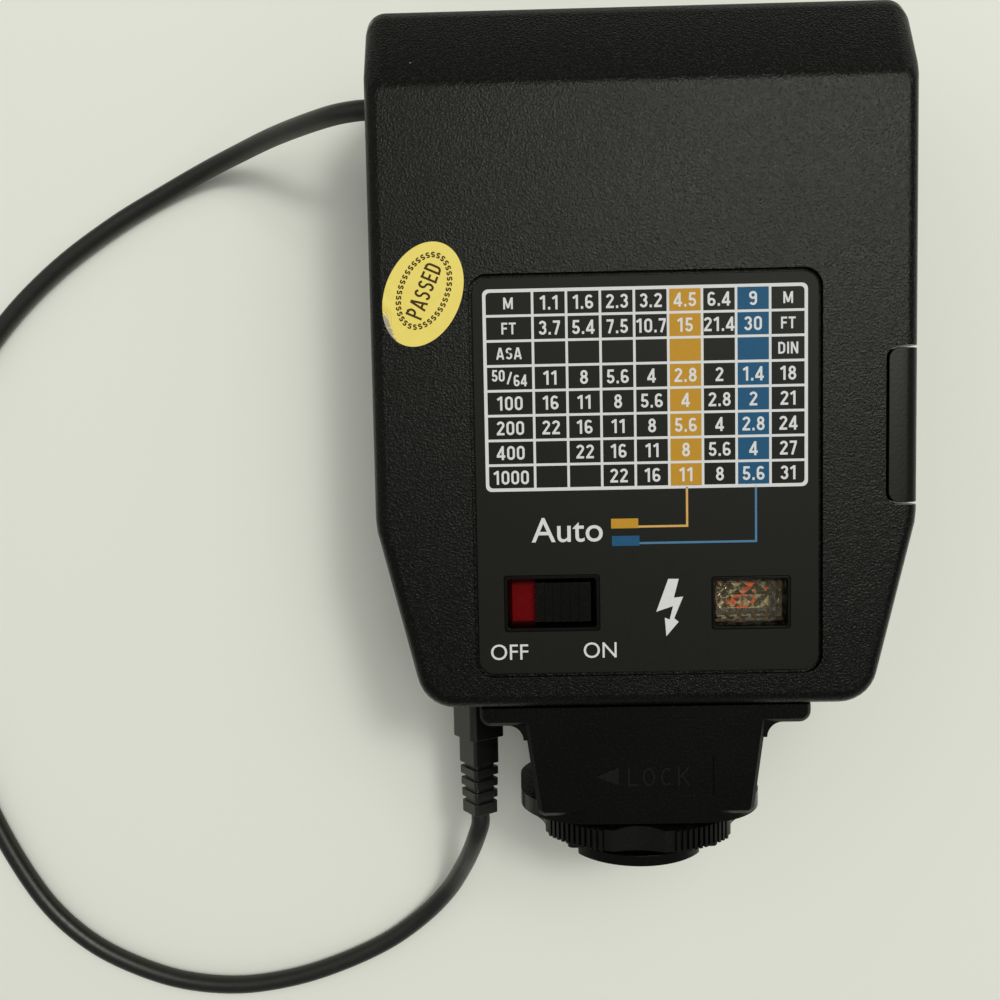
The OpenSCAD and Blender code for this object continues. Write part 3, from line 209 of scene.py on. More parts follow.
# plain pale table, no sheen
floorPaper = plainMaterial("matteTablePaper", Base_Color=linear(stageSetup["floorColour"]),
                           Roughness=stageSetup["floorRoughness"],
                           Specular_IOR_Level=stageSetup["floorSpecular"])[0]
floorMesh.materials.append(floorPaper)
world = bpy.data.worlds.new("studio")
scene.world = world
world.use_nodes = True
skyShader = world.node_tree.nodes["Background"]
skyShader.inputs["Color"].default_value = linear(stageSetup["worldColour"])
skyShader.inputs["Strength"].default_value = stageSetup["worldStrength"]
for lampName, lampSetup in stageSetup["lamps"].items():
    aimedLight(lampName, **lampSetup)
print("stage lit")


# Materials: short forms of addNode that give back the output socket

def objectPlace(tree):
    return addNode(tree, "ShaderNodeTexCoord").outputs["Object"]


def noiseOf(tree, place, size, **inputs):
    # noise with patches of about size mm
    inputs = {"Vector": place, "Scale": 1 / (size * mm), **inputs}
    return addNode(tree, "ShaderNodeTexNoise", inputs).outputs["Fac"]


def mathOf(tree, operation, *values):
    return addNode(tree, "ShaderNodeMath", dict(enumerate(values)), operation=operation).outputs[0]


def ranged(tree, value, fromMin, fromMax, toMin=0.0, toMax=1.0):
    return addNode(tree, "ShaderNodeMapRange", {"Value": value, "From Min": fromMin, "From Max": fromMax,
                                                "To Min": toMin, "To Max": toMax}).outputs["Result"]


def mixed(tree, share, first, second):
    # first and second: sRGB hex, or the socket that gives the colour
    ends = [linear(end) if isinstance(end, str) else end for end in (first, second)]
    return addNode(tree, "ShaderNodeMix", {0: share, 6: ends[0], 7: ends[1]}, data_type="RGBA").outputs[2]


def bumped(tree, height, depth):
    return addNode(tree, "ShaderNodeBump", {"Height": height, "Strength": 1.0,
                                            "Distance": depth * mm}).outputs["Normal"]


def feed(tree, shader, **sockets):
    for name, socket in sockets.items():
        tree.links.new(socket, shader.inputs[name.replace("_", " ")])


plastic = {
    "ior": 1.53,
    "sheen": "#FCFFEE",       # tint of the highlights
    "noiseRoughness": 0.55,
    "broad": 14,              # mm across the patches in which the gloss wanders
    "glossRange": (0.7, 1.3),
    "crestRange": (0.52, 0.74),
    "dustStep": 2.6,          # mm from one place for dust to the next
    "dustSize": 0.045,        # share of that step
    "dustColour": "#77756E",
}


def mouldedPlastic(name, colour, crestTone, roughness, spread, grain, depth, specular=0.3, fleck=0.0):
    # grain and depth in mm: the mould's surface; crestTone: the colour of the grain's crests; spread: how
    # far the roughness wanders; fleck: dust's share
    material, tree, shader = plainMaterial(name, IOR=plastic["ior"], Specular_IOR_Level=specular,
                                           Specular_Tint=linear(plastic["sheen"]))
    place = objectPlace(tree)
    fine = noiseOf(tree, place, grain, Detail=2.0, Roughness=plastic["noiseRoughness"])
    broad = noiseOf(tree, place, plastic["broad"], Detail=4.0, Roughness=plastic["noiseRoughness"])
    gloss = ranged(tree, mathOf(tree, "ADD", fine, broad), *plastic["glossRange"],
                   roughness - spread, roughness + spread)
    # the grain's crests take crestTone: a second tone of the moulding, and on the case a painted sparkle of
    # highlights
    skin = mixed(tree, ranged(tree, fine, *plastic["crestRange"]), colour, crestTone)
    if fleck:
        dust = addNode(tree, "ShaderNodeTexVoronoi", {"Vector": place,
                                                      "Scale": 1 / (plastic["dustStep"] * mm)})
        near = mathOf(tree, "LESS_THAN", dust.outputs["Distance"], plastic["dustSize"])
        lot = addNode(tree, "ShaderNodeSeparateColor", {"Color": dust.outputs["Color"]}).outputs["Red"]
        rare = mathOf(tree, "GREATER_THAN", lot, 1 - fleck)
        skin = mixed(tree, mathOf(tree, "MULTIPLY", near, rare), skin, plastic["dustColour"])
    feed(tree, shader, Base_Color=skin, Roughness=gloss, Normal=bumped(tree, fine, depth))
    return material


ink = {"roughness": 0.5, "ior": 1.5, "specular": 0.1, "patch": 0.5}


def paintedInk(name, colour, patchy):
    # screen-printed enamel: opaque, a little thin in places, nearly flat
    material, tree, shader = plainMaterial(name, Roughness=ink["roughness"], IOR=ink["ior"],
                                           Specular_IOR_Level=ink["specular"])
    thin = noiseOf(tree, objectPlace(tree), ink["patch"], Detail=2.0)
    feed(tree, shader, Base_Color=mixed(tree, thin, colour, patchy))
    return material


metal = {"smoother": 0.08, "rougher": 0.12, "depth": 0.004}


def turnedMetal(name, colour, roughness, line):
    # line: pitch in mm of the tool or drawing marks, coarser than real so that they show
    material, tree, shader = plainMaterial(name, Metallic=1.0, Base_Color=linear(colour))
    marks = noiseOf(tree, objectPlace(tree), line, Detail=3.0)
    gloss = ranged(tree, marks, 0.0, 1.0, roughness - metal["smoother"], roughness + metal["rougher"])
    feed(tree, shader, Roughness=gloss, Normal=bumped(tree, marks, metal["depth"]))
    return material


clearSetup = {"smoother": 0.5, "rougher": 1.5, "depth": 0.006}


def clearPlastic(name, colour, roughness, ior, wave, clear=1.0):
    # clear moulding with a faint ripple from the tool, wave mm long; clear below 1 is a milky one
    material, tree, shader = plainMaterial(name, Base_Color=linear(colour), IOR=ior,
                                           Transmission_Weight=clear)
    ripple = noiseOf(tree, objectPlace(tree), wave, Detail=2.0)
    gloss = ranged(tree, ripple, 0.0, 1.0,
                   roughness * clearSetup["smoother"], roughness * clearSetup["rougher"])
    feed(tree, shader, Roughness=gloss, Normal=bumped(tree, ripple, clearSetup["depth"]))
    return material


# spark-eroded ABS: a fine dry grain that breaks the sheen into small lights; its crests are coloured much
# lighter than the black, a painted sparkle of highlights on the grain
grainedAbs = mouldedPlastic("grainedBlackAbs", "#030303", "#1B1B17", 0.21, 0.05, 0.27, 0.1, 0.15, 0.02)
# printed plate: satin, with almost no grain
satinPlate = mouldedPlastic("satinPrintPlate", "#181815", "#1C1C19", 0.44, 0.04, 0.3, 0.01, 0.1, 0.008)
# plain-tool ABS: smoother than the case, for the door and the clamp
smoothAbs = mouldedPlastic("smoothBlackAbs", "#060606", "#0D0D0C", 0.32, 0.05, 0.5, 0.015, 0.2, 0.015)
# polished-tool ABS: blacker, its ribs and frames edged with thin lights
glossAbs = mouldedPlastic("polishedBlackAbs", "#010101", "#030303", 0.24, 0.04, 0.6, 0.006, 0.16, 0.01)
# foot moulding: darker, faintly mottled and dusty
footNylon = mouldedPlastic("blackFootNylon", "#020202", "#0A0A08", 0.27, 0.06, 0.35, 0.03, 0.14, 0.03)
# soft PVC of the lead and its plug: even, with a low sheen
leadPvc = mouldedPlastic("blackLeadPvc", "#0E0E0D", "#151513", 0.4, 0.05, 0.7, 0.02, 0.45)
# raised letters of the foot, painted a little paler than the floor that they stand on: a painted highlight
# for the light that their edges catch
letterHighlightNylon = mouldedPlastic("paintedHighlightNylon", "#0B0B0A", "#171715", 0.28, 0.05, 0.3, 0.01, 0.2)
# dyed ABS of the ON flag
redAbs = mouldedPlastic("redFlagAbs", "#640206", "#700408", 0.22, 0.05, 0.5, 0.004, 0.08)
# silicone of the tube's boots: cream, soft and dull
creamSilicone = mouldedPlastic("creamSilicone", "#D6D2C6", "#C9C4B5", 0.55, 0.05, 0.6, 0.02)
# phenolic board: mottled brown, with a low shine
boardLaminate = mouldedPlastic("phenolicBoard", "#7F5F33", "#6A4E29", 0.5, 0.08, 0.9, 0.02)
# sleeve shrunk round the capacitor: dark blue and fairly glossy
sleeveFilm = mouldedPlastic("blueShrinkSleeve", "#1F2F4A", "#28395A", 0.3, 0.06, 1.2, 0.01)
# ferrite core: dark grey, dull and finely pitted
ferrite = mouldedPlastic("sinteredFerrite", "#38383A", "#2C2C2E", 0.6, 0.08, 0.5, 0.03)
# dipped resin: deep brown, glossy and a little uneven
brownResin = mouldedPlastic("dippedBrownResin", "#73301E", "#5E2618", 0.25, 0.05, 1.0, 0.02)
# printed film of the cells: mustard, smooth and glossy
cellJacket = mouldedPlastic("printedCellJacket", "#B58B3E", "#A57C33", 0.3, 0.05, 1.5, 0.005)
# plated steel: bright grey, with fine drawing marks
brightSteel = turnedMetal("brightSteel", "#B4B4B6", 0.3, 0.5)
# nickelled spring steel: bright and slightly warm
nickelSpring = turnedMetal("nickelledSpringSteel", "#B9B5A6", 0.28, 0.4)
# turned brass: yellow, with fine tool marks
turnedBrass = turnedMetal("turnedBrass", "#C9A85C", 0.28, 0.4)
# enamelled copper: reddish brown under varnish
copperWire = turnedMetal("enamelledCopper", "#B8743A", 0.35, 0.3)
# reflector: almost a mirror, faintly wavy
mirrorAluminium = turnedMetal("polishedAluminium", "#E6E6E8", 0.12, 1.2)
# test lens: clear and slightly yellowed
lensAcrylic = clearPlastic("pyramidLensAcrylic", "#F0EBCB", 0.04, 1.49, 1.5, 0.97)
# flash window: clear and colourless
windowAcrylic = clearPlastic("ribbedWindowAcrylic", "#EEF2F3", 0.05, 1.49, 2.5)
# tube: clear glass with sharp lights
tubeGlass = clearPlastic("flashTubeGlass", "#EFF4F6", 0.02, 1.47, 3.0)
# sensor window: dark wine red, see-through
eyeAcrylic = clearPlastic("smokedEyeAcrylic", "#5A2A34", 0.04, 1.49, 2.0)
# screen inks: flat colours, paler where a line is thin
inkWhite = paintedInk("whiteScreenInk", "#DEDED9", "#D2D2CC")
inkOrange = paintedInk("ochreScreenInk", "#C2912C", "#B98826")
inkBlue = paintedInk("blueScreenInk", "#225877", "#1D5070")
inkPaleOchre = paintedInk("thinOchreInk", "#D8AC62", "#CFA052")
inkPaleBlue = paintedInk("thinBlueInk", "#4F7F9E", "#457592")
# print on the seal: dark brown, a little patchy
inkBrown = paintedInk("brownSealInk", "#3B2A08", "#4A3610")
# neon bulb behind the lens: orange electrodes among grey glass and painted brown shadow; the unlit bulb is
# given a faint emission, painted light that brightens what the lens shows of it
neon = {
    "roughness": 0.12,
    "paintedGlow": 0.35,
    "small": 1.1,             # mm across the glass's patches
    "smallRange": (0.42, 0.6),
    "large": 2.6,             # mm across the electrodes' patches
    "largeRange": (0.54, 0.6),
    "shadow": "#2E2416",
    "glass": "#B4AE94",
    "electrode": "#D9521A",
}
# the emission is painted light: the bulb is unlit
neonGlass, neonTree, neonShader = plainMaterial("neonLampGlass", Roughness=neon["roughness"],
                                                Emission_Strength=neon["paintedGlow"])
neonPlace = objectPlace(neonTree)
neonPale = ranged(neonTree, noiseOf(neonTree, neonPlace, neon["small"]), *neon["smallRange"])
neonLit = ranged(neonTree, noiseOf(neonTree, neonPlace, neon["large"]), *neon["largeRange"])
neonGrey = mixed(neonTree, neonPale, neon["shadow"], neon["glass"])
neonTint = mixed(neonTree, neonLit, neonGrey, neon["electrode"])
feed(neonTree, neonShader, Base_Color=neonTint, Emission_Color=neonTint)
print("materials made:", len(bpy.data.materials))


# Case, foot and small mouldings: smooth copies of the solids with softened edges

softening = {
    "weld": 0.002,            # mm: corners nearer than this are one
    "flat": 0.6,              # degrees: faces that turn less are one
    "sharp": 38,              # degrees: an edge that turns more is softened
    "crease": 60,             # degrees: an edge that stays sharp in a softened piece
}


def softCopy(name, nodeName, body, material, edge):
    # edge: width in mm of the bevel that a moulded edge has, or 0 for none
    shape = bmesh.new()
    shape.from_mesh(nodes[nodeName].data)
    bmesh.ops.remove_doubles(shape, verts=shape.verts, dist=softening["weld"] * mm)
    bmesh.ops.dissolve_limit(shape, angle_limit=math.radians(softening["flat"]), verts=shape.verts,
                             edges=shape.edges)
    mesh = meshFrom(shape, name)
    piece = newObject(name, mesh)
    for face in mesh.polygons:
        face.use_smooth = True
    if edge:
        bevel = piece.modifiers.new("edge", "BEVEL")
        bevel.width = edge * mm
        bevel.segments = 2
        bevel.limit_method = "ANGLE"
        bevel.angle_limit = math.radians(softening["sharp"])
        bevel.use_clamp_overlap = True
    weight = piece.modifiers.new("weight", "WEIGHTED_NORMAL")
    weight.keep_sharp = True
    mesh.set_sharp_from_angle(angle=math.radians(softening["crease" if edge else "sharp"]))
    bakedMesh(piece)
    piece.data.materials.clear()
    piece.data.materials.append(material)
    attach(piece, body)
    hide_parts(nodeName)
    return piece


softPieces = {
    "rearCase": ("rear_shell", "flash_body", "grained_black_plastic", grainedAbs, 0.16),
    "frontCase": ("front_shell", "flash_body", "grained_black_plastic", grainedAbs, 0.14),
    "labelPlate": ("label_plate", "flash_body", "satin_dark_plastic", satinPlate, 0.14),
    "doorLid": ("battery_door", "battery_lid", "smooth_black_plastic", smoothAbs, 0.14),
    "footHousing": ("foot_bracket", "flash_body", "smooth_black_plastic", footNylon, 0.12),
    "lockWheel": ("lock_wheel", "thumb_wheel", "smooth_black_plastic", smoothAbs, 0.08),
    "clampPlate": ("clamp_plate", "shoe_clamp", "smooth_black_plastic", smoothAbs, 0.12),
    "footPlate": ("foot_plate", "flash_body", "smooth_black_plastic", footNylon, 0.12),
    "leadPlug": ("sync_plug", "flash_body", "black_rubber", leadPvc, 0.12),
    "parkedPlug": ("pc_plug", "flash_body", "black_rubber", leadPvc, 0.1),
    "switchFrame": ("switch_bezel", "flash_body", "smooth_black_plastic", glossAbs, 0.05),
    "lampFrame": ("lamp_bezel", "flash_body", "smooth_black_plastic", glossAbs, 0.05),
    "switchKnob": ("power_slider", "power_knob", "smooth_black_plastic", glossAbs, 0.16),
    "onFlag": ("switch_flag", "flash_body", "red_plastic", redAbs, 0.05),
    "modeKnob": ("mode_slider", "mode_knob", "smooth_black_plastic", smoothAbs, 0.06),
}
for pieceName, (nodeName, body, slot, material, edge) in softPieces.items():
    softCopy(pieceName, nodeName, body, material, edge)
# the slide knob is a hair shorter than its solid, so that it stops short of its frame at OFF
knobRoom = 0.03               # mm
knobLow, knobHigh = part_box("power_slider")
knobShare = 1 - knobRoom * mm / (knobHigh.x - knobLow.x)
bpy.data.objects["switchKnob"].data.transform(
    Matrix.Translation(knobHigh) @ Matrix.Diagonal((knobShare, 1, 1, 1)) @ Matrix.Translation(-knobHigh))
print("soft copies made:", len(softPieces))

# Springs: smooth copies, each with a mesh of its own
springs = {
    "contactCoil": {"node": "contact_spring", "slot": "spring_steel", "material": nickelSpring,
                    "joint": "pin_press", "axis": (0, 1, 0), "fixed": "high", "travel": 1.0},
    "buttonSprings": {"node": "test_springs", "slot": "brass", "material": turnedBrass,
                      "joint": "test_press", "axis": (0, 0, 1), "fixed": "low", "travel": 0.8},
}
for pieceName, spring in springs.items():
    piece = softCopy(pieceName, spring["node"], "flash_body", spring["material"], 0)
    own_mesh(piece)
print("springs made:", len(springs))

# Cells: a printed jacket round a bright steel can, whose two ends stay bare
cells = softCopy("cellPack", "battery_cells", "flash_body", cellJacket, 0)
cells.data.materials.append(brightSteel)
endFacing = 0.5               # a face that looks along X by more than this is part of an end
for face in cells.data.polygons:
    face.material_index = 1 if abs(face.normal.x) > endFacing else 0
print("cells jacketed")

# Solids that keep their own mesh
plainNodes = {
    "test_button": lensAcrylic, "neon_lamp": neonGlass, "slide_switch": brightSteel,
    "circuit_board": boardLaminate, "main_capacitor": sleeveFilm,
    "transformer_core": ferrite, "transformer_winding": copperWire, "trigger_coil": brownResin,
    "thyristor": smoothAbs, "reflector": mirrorAluminium, "flash_tube": tubeGlass,
    "tube_electrodes": brightSteel, "tube_boots": creamSilicone, "front_window": windowAcrylic,
    "sensor_window": eyeAcrylic, "photo_sensor": turnedBrass, "sensor_board": boardLaminate,
    "battery_tray": smoothAbs, "tray_contacts": nickelSpring, "cell_spring": nickelSpring,
    "door_contact": nickelSpring, "door_hinge_pin": brightSteel, "lock_stud": turnedBrass,
    "pin_insulator": creamSilicone, "contact_pin": turnedBrass, "case_screws": brightSteel,
    "bracket_screws": brightSteel, "sync_socket": smoothAbs, "plug_pins": turnedBrass,
    "plug_holder": smoothAbs, "pc_sleeve": brightSteel,
}
for nodeName, material in plainNodes.items():
    nodes[nodeName].data.materials.clear()
    nodes[nodeName].data.materials.append(material)
leadCurve.materials.append(leadPvc)
print("solids painted:", len(plainNodes))


# Printing on the label plate, laid on its upper face

printSetup = {
    "lift": 0.012,            # ink's height above the plate
    "ink": 0.01,              # ink's thickness
    "tableLeft": -21.8,
    "tableTop": 22.95,
    "columns": [6.6] + [4.63] * 7 + [4.9],
    "rowHeight": 3.41,
    "rows": 8,
    "line": 0.35,
    "border": 0.46,
    "corner": 0.8,
    "figureHeight": 1.92,
    "letterHeight": 1.6,
    "figureStroke": 0.16,     # pen width as a share of the height
    "figureGap": 0.09,
    "figureSqueeze": 1.15,
    "letterSqueeze": 1.2,
    "splitHeight": 1.6,       # the figure pair on both sides of a stroke
    "splitPlaces": [(-1.53, 0.4), (0, 0.05), (1.5, -0.3)],
    "layer": 0.002,           # each overprinted stroke lies this much higher
    "ochreAt": 5,             # the coloured columns, counted from 0
    "blueAt": 7,
}
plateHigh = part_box("label_plate")[1]
inkFloor = plateHigh.z + printSetup["lift"] * mm


def thicken(shape, thick):
    # turns every face up, then draws the layer up by thick
    for face in shape.faces:
        if face.normal.z < 0:
            face.normal_flip()
    raised = bmesh.ops.extrude_face_region(shape, geom=shape.faces[:])
    top = [g for g in raised["geom"] if isinstance(g, bmesh.types.BMVert)]
    bmesh.ops.translate(shape, verts=top, vec=(0, 0, thick))
    bmesh.ops.recalc_face_normals(shape, faces=shape.faces)


def trimPiece(name, shape, material):
    # a finished bmesh as a piece on the body
    mesh = meshFrom(shape, name)
    mesh.materials.append(material)
    piece = newObject(name, mesh)
    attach(piece, "flash_body")
    return piece


def inkMesh(name, outlines, material):
    # flat closed outlines (lists of x, y in mm) as one thin printed layer
    shape = bmesh.new()
    for outline in outlines:
        shape.faces.new([shape.verts.new((x * mm, y * mm, inkFloor)) for x, y in outline])
    bmesh.ops.recalc_face_normals(shape, faces=shape.faces)
    thicken(shape, printSetup["ink"] * mm)
    return trimPiece(name, shape, material)


def roundedOutline(x0, y0, x1, y1, r, steps=6):
    # a rectangle with corners of radius r
    out = []
    middles = ((x1 - r, y1 - r), (x0 + r, y1 - r), (x0 + r, y0 + r), (x1 - r, y0 + r))
    for (cx, cy), start in zip(middles, (0, 90, 180, 270)):
        for k in range(steps + 1):
            a = math.radians(start + 90 * k / steps)
            out.append((cx + r * math.cos(a), cy + r * math.sin(a)))
    return out


def groupInputs(tree, **kinds):
    for name, kind in kinds.items():
        tree.interface.new_socket(name, in_out="INPUT", socket_type="NodeSocket" + kind)
    tree.interface.new_socket("Geometry", in_out="OUTPUT", socket_type="NodeSocketGeometry")
    return addNode(tree, "NodeGroupInput")


def inkedOutput(tree, spread, given):
    # the spread copies as one mesh in the given ink
    real = addNode(tree, "GeometryNodeRealizeInstances", {"Geometry": spread.outputs["Instances"]})
    inked = addNode(tree, "GeometryNodeSetMaterial", {"Geometry": real.outputs["Geometry"],
                                                      "Material": given.outputs["Ink"]})
    addNode(tree, "NodeGroupOutput", {"Geometry": inked.outputs["Geometry"]})
    return tree


def barRowTree():
    # a row of equal bars: what the table's lines repeat
    tree = bpy.data.node_groups.new("barRow", "GeometryNodeTree")
    given = groupInputs(tree, Count="Int", First="Vector", Step="Vector", Bar="Vector", Ink="Material")
    line = addNode(tree, "GeometryNodeMeshLine", {"Count": given.outputs["Count"],
                                                  "Start Location": given.outputs["First"],
                                                  "Offset": given.outputs["Step"]})
    bar = addNode(tree, "GeometryNodeMeshCube", {"Size": given.outputs["Bar"]})
    spread = addNode(tree, "GeometryNodeInstanceOnPoints", {"Points": line.outputs["Mesh"],
                                                            "Instance": bar.outputs["Mesh"]})
    return inkedOutput(tree, spread, given)


def setInputs(modifier, **values):
    for item in modifier.node_group.interface.items_tree:
        if item.in_out == "INPUT" and item.name in values:
            modifier[item.identifier] = values[item.name]


def nodePiece(name, tree, **values):
    # the tree's result for these inputs, as a plain mesh
    piece = newObject(name, bpy.data.meshes.new(name))
    modifier = piece.modifiers.new("repeat", "NODES")
    modifier.node_group = tree
    setInputs(modifier, **values)
    return bakedMesh(piece)


barRow = barRowTree()
border, corner = printSetup["border"], printSetup["corner"]
tableLeft, tableTop = printSetup["tableLeft"], printSetup["tableTop"]
tableWide = sum(printSetup["columns"])
tableHigh = printSetup["rowHeight"] * printSetup["rows"]
inkMid = inkFloor + printSetup["ink"] * mm / 2
inkThick, lineWide = printSetup["ink"] * mm, printSetup["line"] * mm
columnsLeft, rowStep = tableLeft + printSetup["columns"][0], printSetup["rowHeight"]
columnLines = nodePiece("tableColumnLines", barRow, Count=len(printSetup["columns"]) - 1,
                        First=(columnsLeft * mm, (tableTop - tableHigh / 2) * mm, inkMid),
                        Step=(printSetup["columns"][1] * mm, 0, 0),
                        Bar=(lineWide, (tableHigh - border) * mm, inkThick), Ink=inkWhite)
rowLines = nodePiece("tableRowLines", barRow, Count=printSetup["rows"] - 1,
                     First=((tableLeft + tableWide / 2) * mm, (tableTop - rowStep) * mm,
                            inkMid + printSetup["layer"] * mm),
                     Step=(0, -rowStep * mm, 0),
                     Bar=((tableWide - border) * mm, lineWide, inkThick), Ink=inkWhite)
for piece in (columnLines, rowLines):
    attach(piece, "flash_body")


def ringMesh(name, outer, inner, material):
    # the band between two outlines with as many corners, as thick as the ink
    shape = bmesh.new()
    low, high = inkFloor, inkFloor + inkThick
    rings = [[shape.verts.new((x * mm, y * mm, z)) for x, y in ring]
             for ring, z in ((outer, high), (inner, high), (inner, low), (outer, low))]
    n = len(outer)
    for a, b in ((0, 1), (1, 2), (2, 3), (3, 0)):
        for k in range(n):
            shape.faces.new((rings[a][k], rings[a][(k + 1) % n], rings[b][(k + 1) % n], rings[b][k]))
    bmesh.ops.recalc_face_normals(shape, faces=shape.faces)
    return trimPiece(name, shape, material)


outerRing = roundedOutline(tableLeft - border / 2, tableTop - tableHigh - border / 2,
                           tableLeft + tableWide + border / 2, tableTop + border / 2, corner)
innerRing = roundedOutline(tableLeft + border / 2, tableTop - tableHigh + border / 2,
                           tableLeft + tableWide - border / 2, tableTop - border / 2, corner - border / 2)
ringMesh("tableBorder", outerRing, innerRing, inkWhite)


def barOutline(x0, y0, x1, y1):
    return [(x0, y0), (x1, y0), (x1, y1), (x0, y1)]


def columnSpan(i):
    left = tableLeft + sum(printSetup["columns"][:i])
    return left, left + printSetup["columns"][i]


def colourColumn(name, i, material):
    # one filled box for each cell of the column, between the white lines
    x0, x1 = columnSpan(i)
    gap = printSetup["line"] / 2
    boxes = []
    for row in range(printSetup["rows"]):
        top = tableTop - row * printSetup["rowHeight"]
        low = top - printSetup["rowHeight"]
        boxes.append(barOutline(x0 + gap, low + gap, x1 - gap, top - gap))
    return inkMesh(name, boxes, material)


colourColumn("ochreColumn", printSetup["ochreAt"], inkOrange)
colourColumn("blueColumn", printSetup["blueAt"], inkBlue)


def textMesh(text, height, widthShare=1.0, bold=0.0):
    # one word as a flat mesh, its capitals height mm tall, centred on its own box, in mm
    curve = bpy.data.curves.new("word", "FONT")
    curve.body = text
    curve.offset = bold
    curve.resolution_u = 4
    word = newObject("word", curve)
    graph = bpy.context.evaluated_depsgraph_get()
    mesh = bpy.data.meshes.new_from_object(word.evaluated_get(graph))
    bpy.data.objects.remove(word)
    bpy.data.curves.remove(curve)
    capital = 0.729                    # the built-in font's capital height at size 1
    xs = [v.co.x for v in mesh.vertices]
    centred = Matrix.Translation((-(min(xs) + max(xs)) / 2, -capital / 2, 0))
    k = height / capital
    mesh.transform(Matrix.Diagonal((k * widthShare, k, 1, 1)) @ centred)
    return mesh


def bow(cx, cy, rx, ry, start, end, steps=10):
    # points of an oval arc, angles in degrees
    turns = [math.radians(start + (end - start) * k / steps) for k in range(steps + 1)]
    return [(cx + rx * math.cos(t), cy + ry * math.sin(t)) for t in turns]


sixPaths = [bow(0.26, 0.29, 0.175, 0.2, 0, 360, 20),
            [(0.085, 0.29)] + bow(0.26, 0.7, 0.175, 0.215, 180, 30)]
nineTurned = [[(0.52 - x, 1 - y) for x, y in path] for path in sixPaths]
stem = [(0.085, 0), (0.085, 1)]
# letters of a round pen in a box one high: (width, paths)
penLetters = {
    "0": (0.52, [bow(0.26, 0.72, 0.175, 0.195, 0, 180) + bow(0.26, 0.28, 0.175, 0.195, 180, 360)
                 + [(0.435, 0.72)]]),
    "1": (0.4, [[(0.27, 0), (0.27, 1)], [(0.03, 0.76), (0.26, 0.93)]]),
    "2": (0.52, [bow(0.26, 0.725, 0.175, 0.19, 170, -35) + [(0.1, 0.12)], [(0.02, 0.085), (0.5, 0.085)]]),
    "3": (0.5, [bow(0.24, 0.7225, 0.165, 0.1925, 165, -90), bow(0.24, 0.3075, 0.18, 0.2225, 90, -165)]),
    "4": (0.54, [[(0.375, 0), (0.375, 1)], [(0.36, 0.93), (0.06, 0.3)], [(0.0, 0.255), (0.53, 0.255)]]),
    "5": (0.5, [[(0.06, 0.915), (0.45, 0.915)], [(0.13, 0.9), (0.1, 0.46)],
                bow(0.24, 0.31, 0.18, 0.225, 140, -165)]),
    "6": (0.52, sixPaths),
    "7": (0.48, [[(0.02, 0.915), (0.46, 0.915)], [(0.4, 0.88), (0.17, 0)]]),
    "8": (0.52, [bow(0.26, 0.725, 0.15, 0.19, 0, 360, 20), bow(0.26, 0.295, 0.175, 0.21, 0, 360, 20)]),
    "9": (0.52, nineTurned),
    ".": (0.19, [[(0.095, 0), (0.095, 0.19)]]),
    "/": (0.4, [[(0.03, -0.02), (0.37, 1.02)]]),
    "A": (0.58, [[(0.07, 0), (0.27, 1)], [(0.51, 0), (0.31, 1)], [(0.15, 0.27), (0.43, 0.27)]]),
    "C": (0.52, [bow(0.27, 0.5, 0.19, 0.415, 45, 315, 16)]),
    "D": (0.54, [stem, [(0.085, 0.915), (0.24, 0.915)] + bow(0.24, 0.7, 0.2, 0.215, 90, 0)
                 + bow(0.24, 0.3, 0.2, 0.215, 0, -90) + [(0.085, 0.085)]]),
    "E": (0.46, [stem, [(0.085, 0.915), (0.45, 0.915)], [(0.085, 0.51), (0.41, 0.51)],
                 [(0.085, 0.085), (0.45, 0.085)]]),
    "F": (0.46, [stem, [(0.085, 0.915), (0.45, 0.915)], [(0.085, 0.5), (0.41, 0.5)]]),
    "I": (0.17, [stem]),
    "K": (0.54, [stem, [(0.5, 1), (0.11, 0.44)], [(0.22, 0.6), (0.52, 0)]]),
    "L": (0.44, [stem, [(0.085, 0.085), (0.44, 0.085)]]),
    "M": (0.72, [stem, [(0.635, 0), (0.635, 1)], [(0.12, 0.93), (0.36, 0.1)], [(0.36, 0.1), (0.6, 0.93)]]),
    "N": (0.56, [stem, [(0.475, 0), (0.475, 1)], [(0.1, 0.97), (0.46, 0.03)]]),
    "O": (0.6, [bow(0.3, 0.5, 0.215, 0.415, 0, 360, 24)]),
    "P": (0.5, [stem, [(0.085, 0.915), (0.25, 0.915)] + bow(0.25, 0.7, 0.17, 0.215, 90, -90)
                + [(0.085, 0.485)]]),
    "S": (0.5, [bow(0.255, 0.7225, 0.165, 0.1925, 25, 270) + bow(0.245, 0.3075, 0.175, 0.2225, 90, -155)]),
    "T": (0.5, [[(0.25, 0), (0.25, 0.9)], [(0.0, 0.915), (0.5, 0.915)]]),
}


def layPen(shape, points, half, height):
    # a strip of faces along the points, mitred at the bends
    closed = (points[0] - points[-1]).length < 1e-6
    points = points[:-1] if closed else points
    count = len(points)
    edges = []
    for k, point in enumerate(points):
        around = []
        if closed or k:
            around.append((point - points[k - 1]).normalized())
        if closed or k < count - 1:
            around.append((points[(k + 1) % count] - point).normalized())
        across = [Vector((-step.y, step.x)) for step in around]
        mitre = sum(across, Vector((0, 0))).normalized()
        reach = mitre * half / max(mitre.dot(across[0]), 0.5)
        edges.append([shape.verts.new((*(point + side * reach), height)) for side in (1, -1)])
    for k in range(count if closed else count - 1):
        (a, b), (c, d) = edges[k], edges[(k + 1) % count]
        shape.faces.new((a, b, d, c))


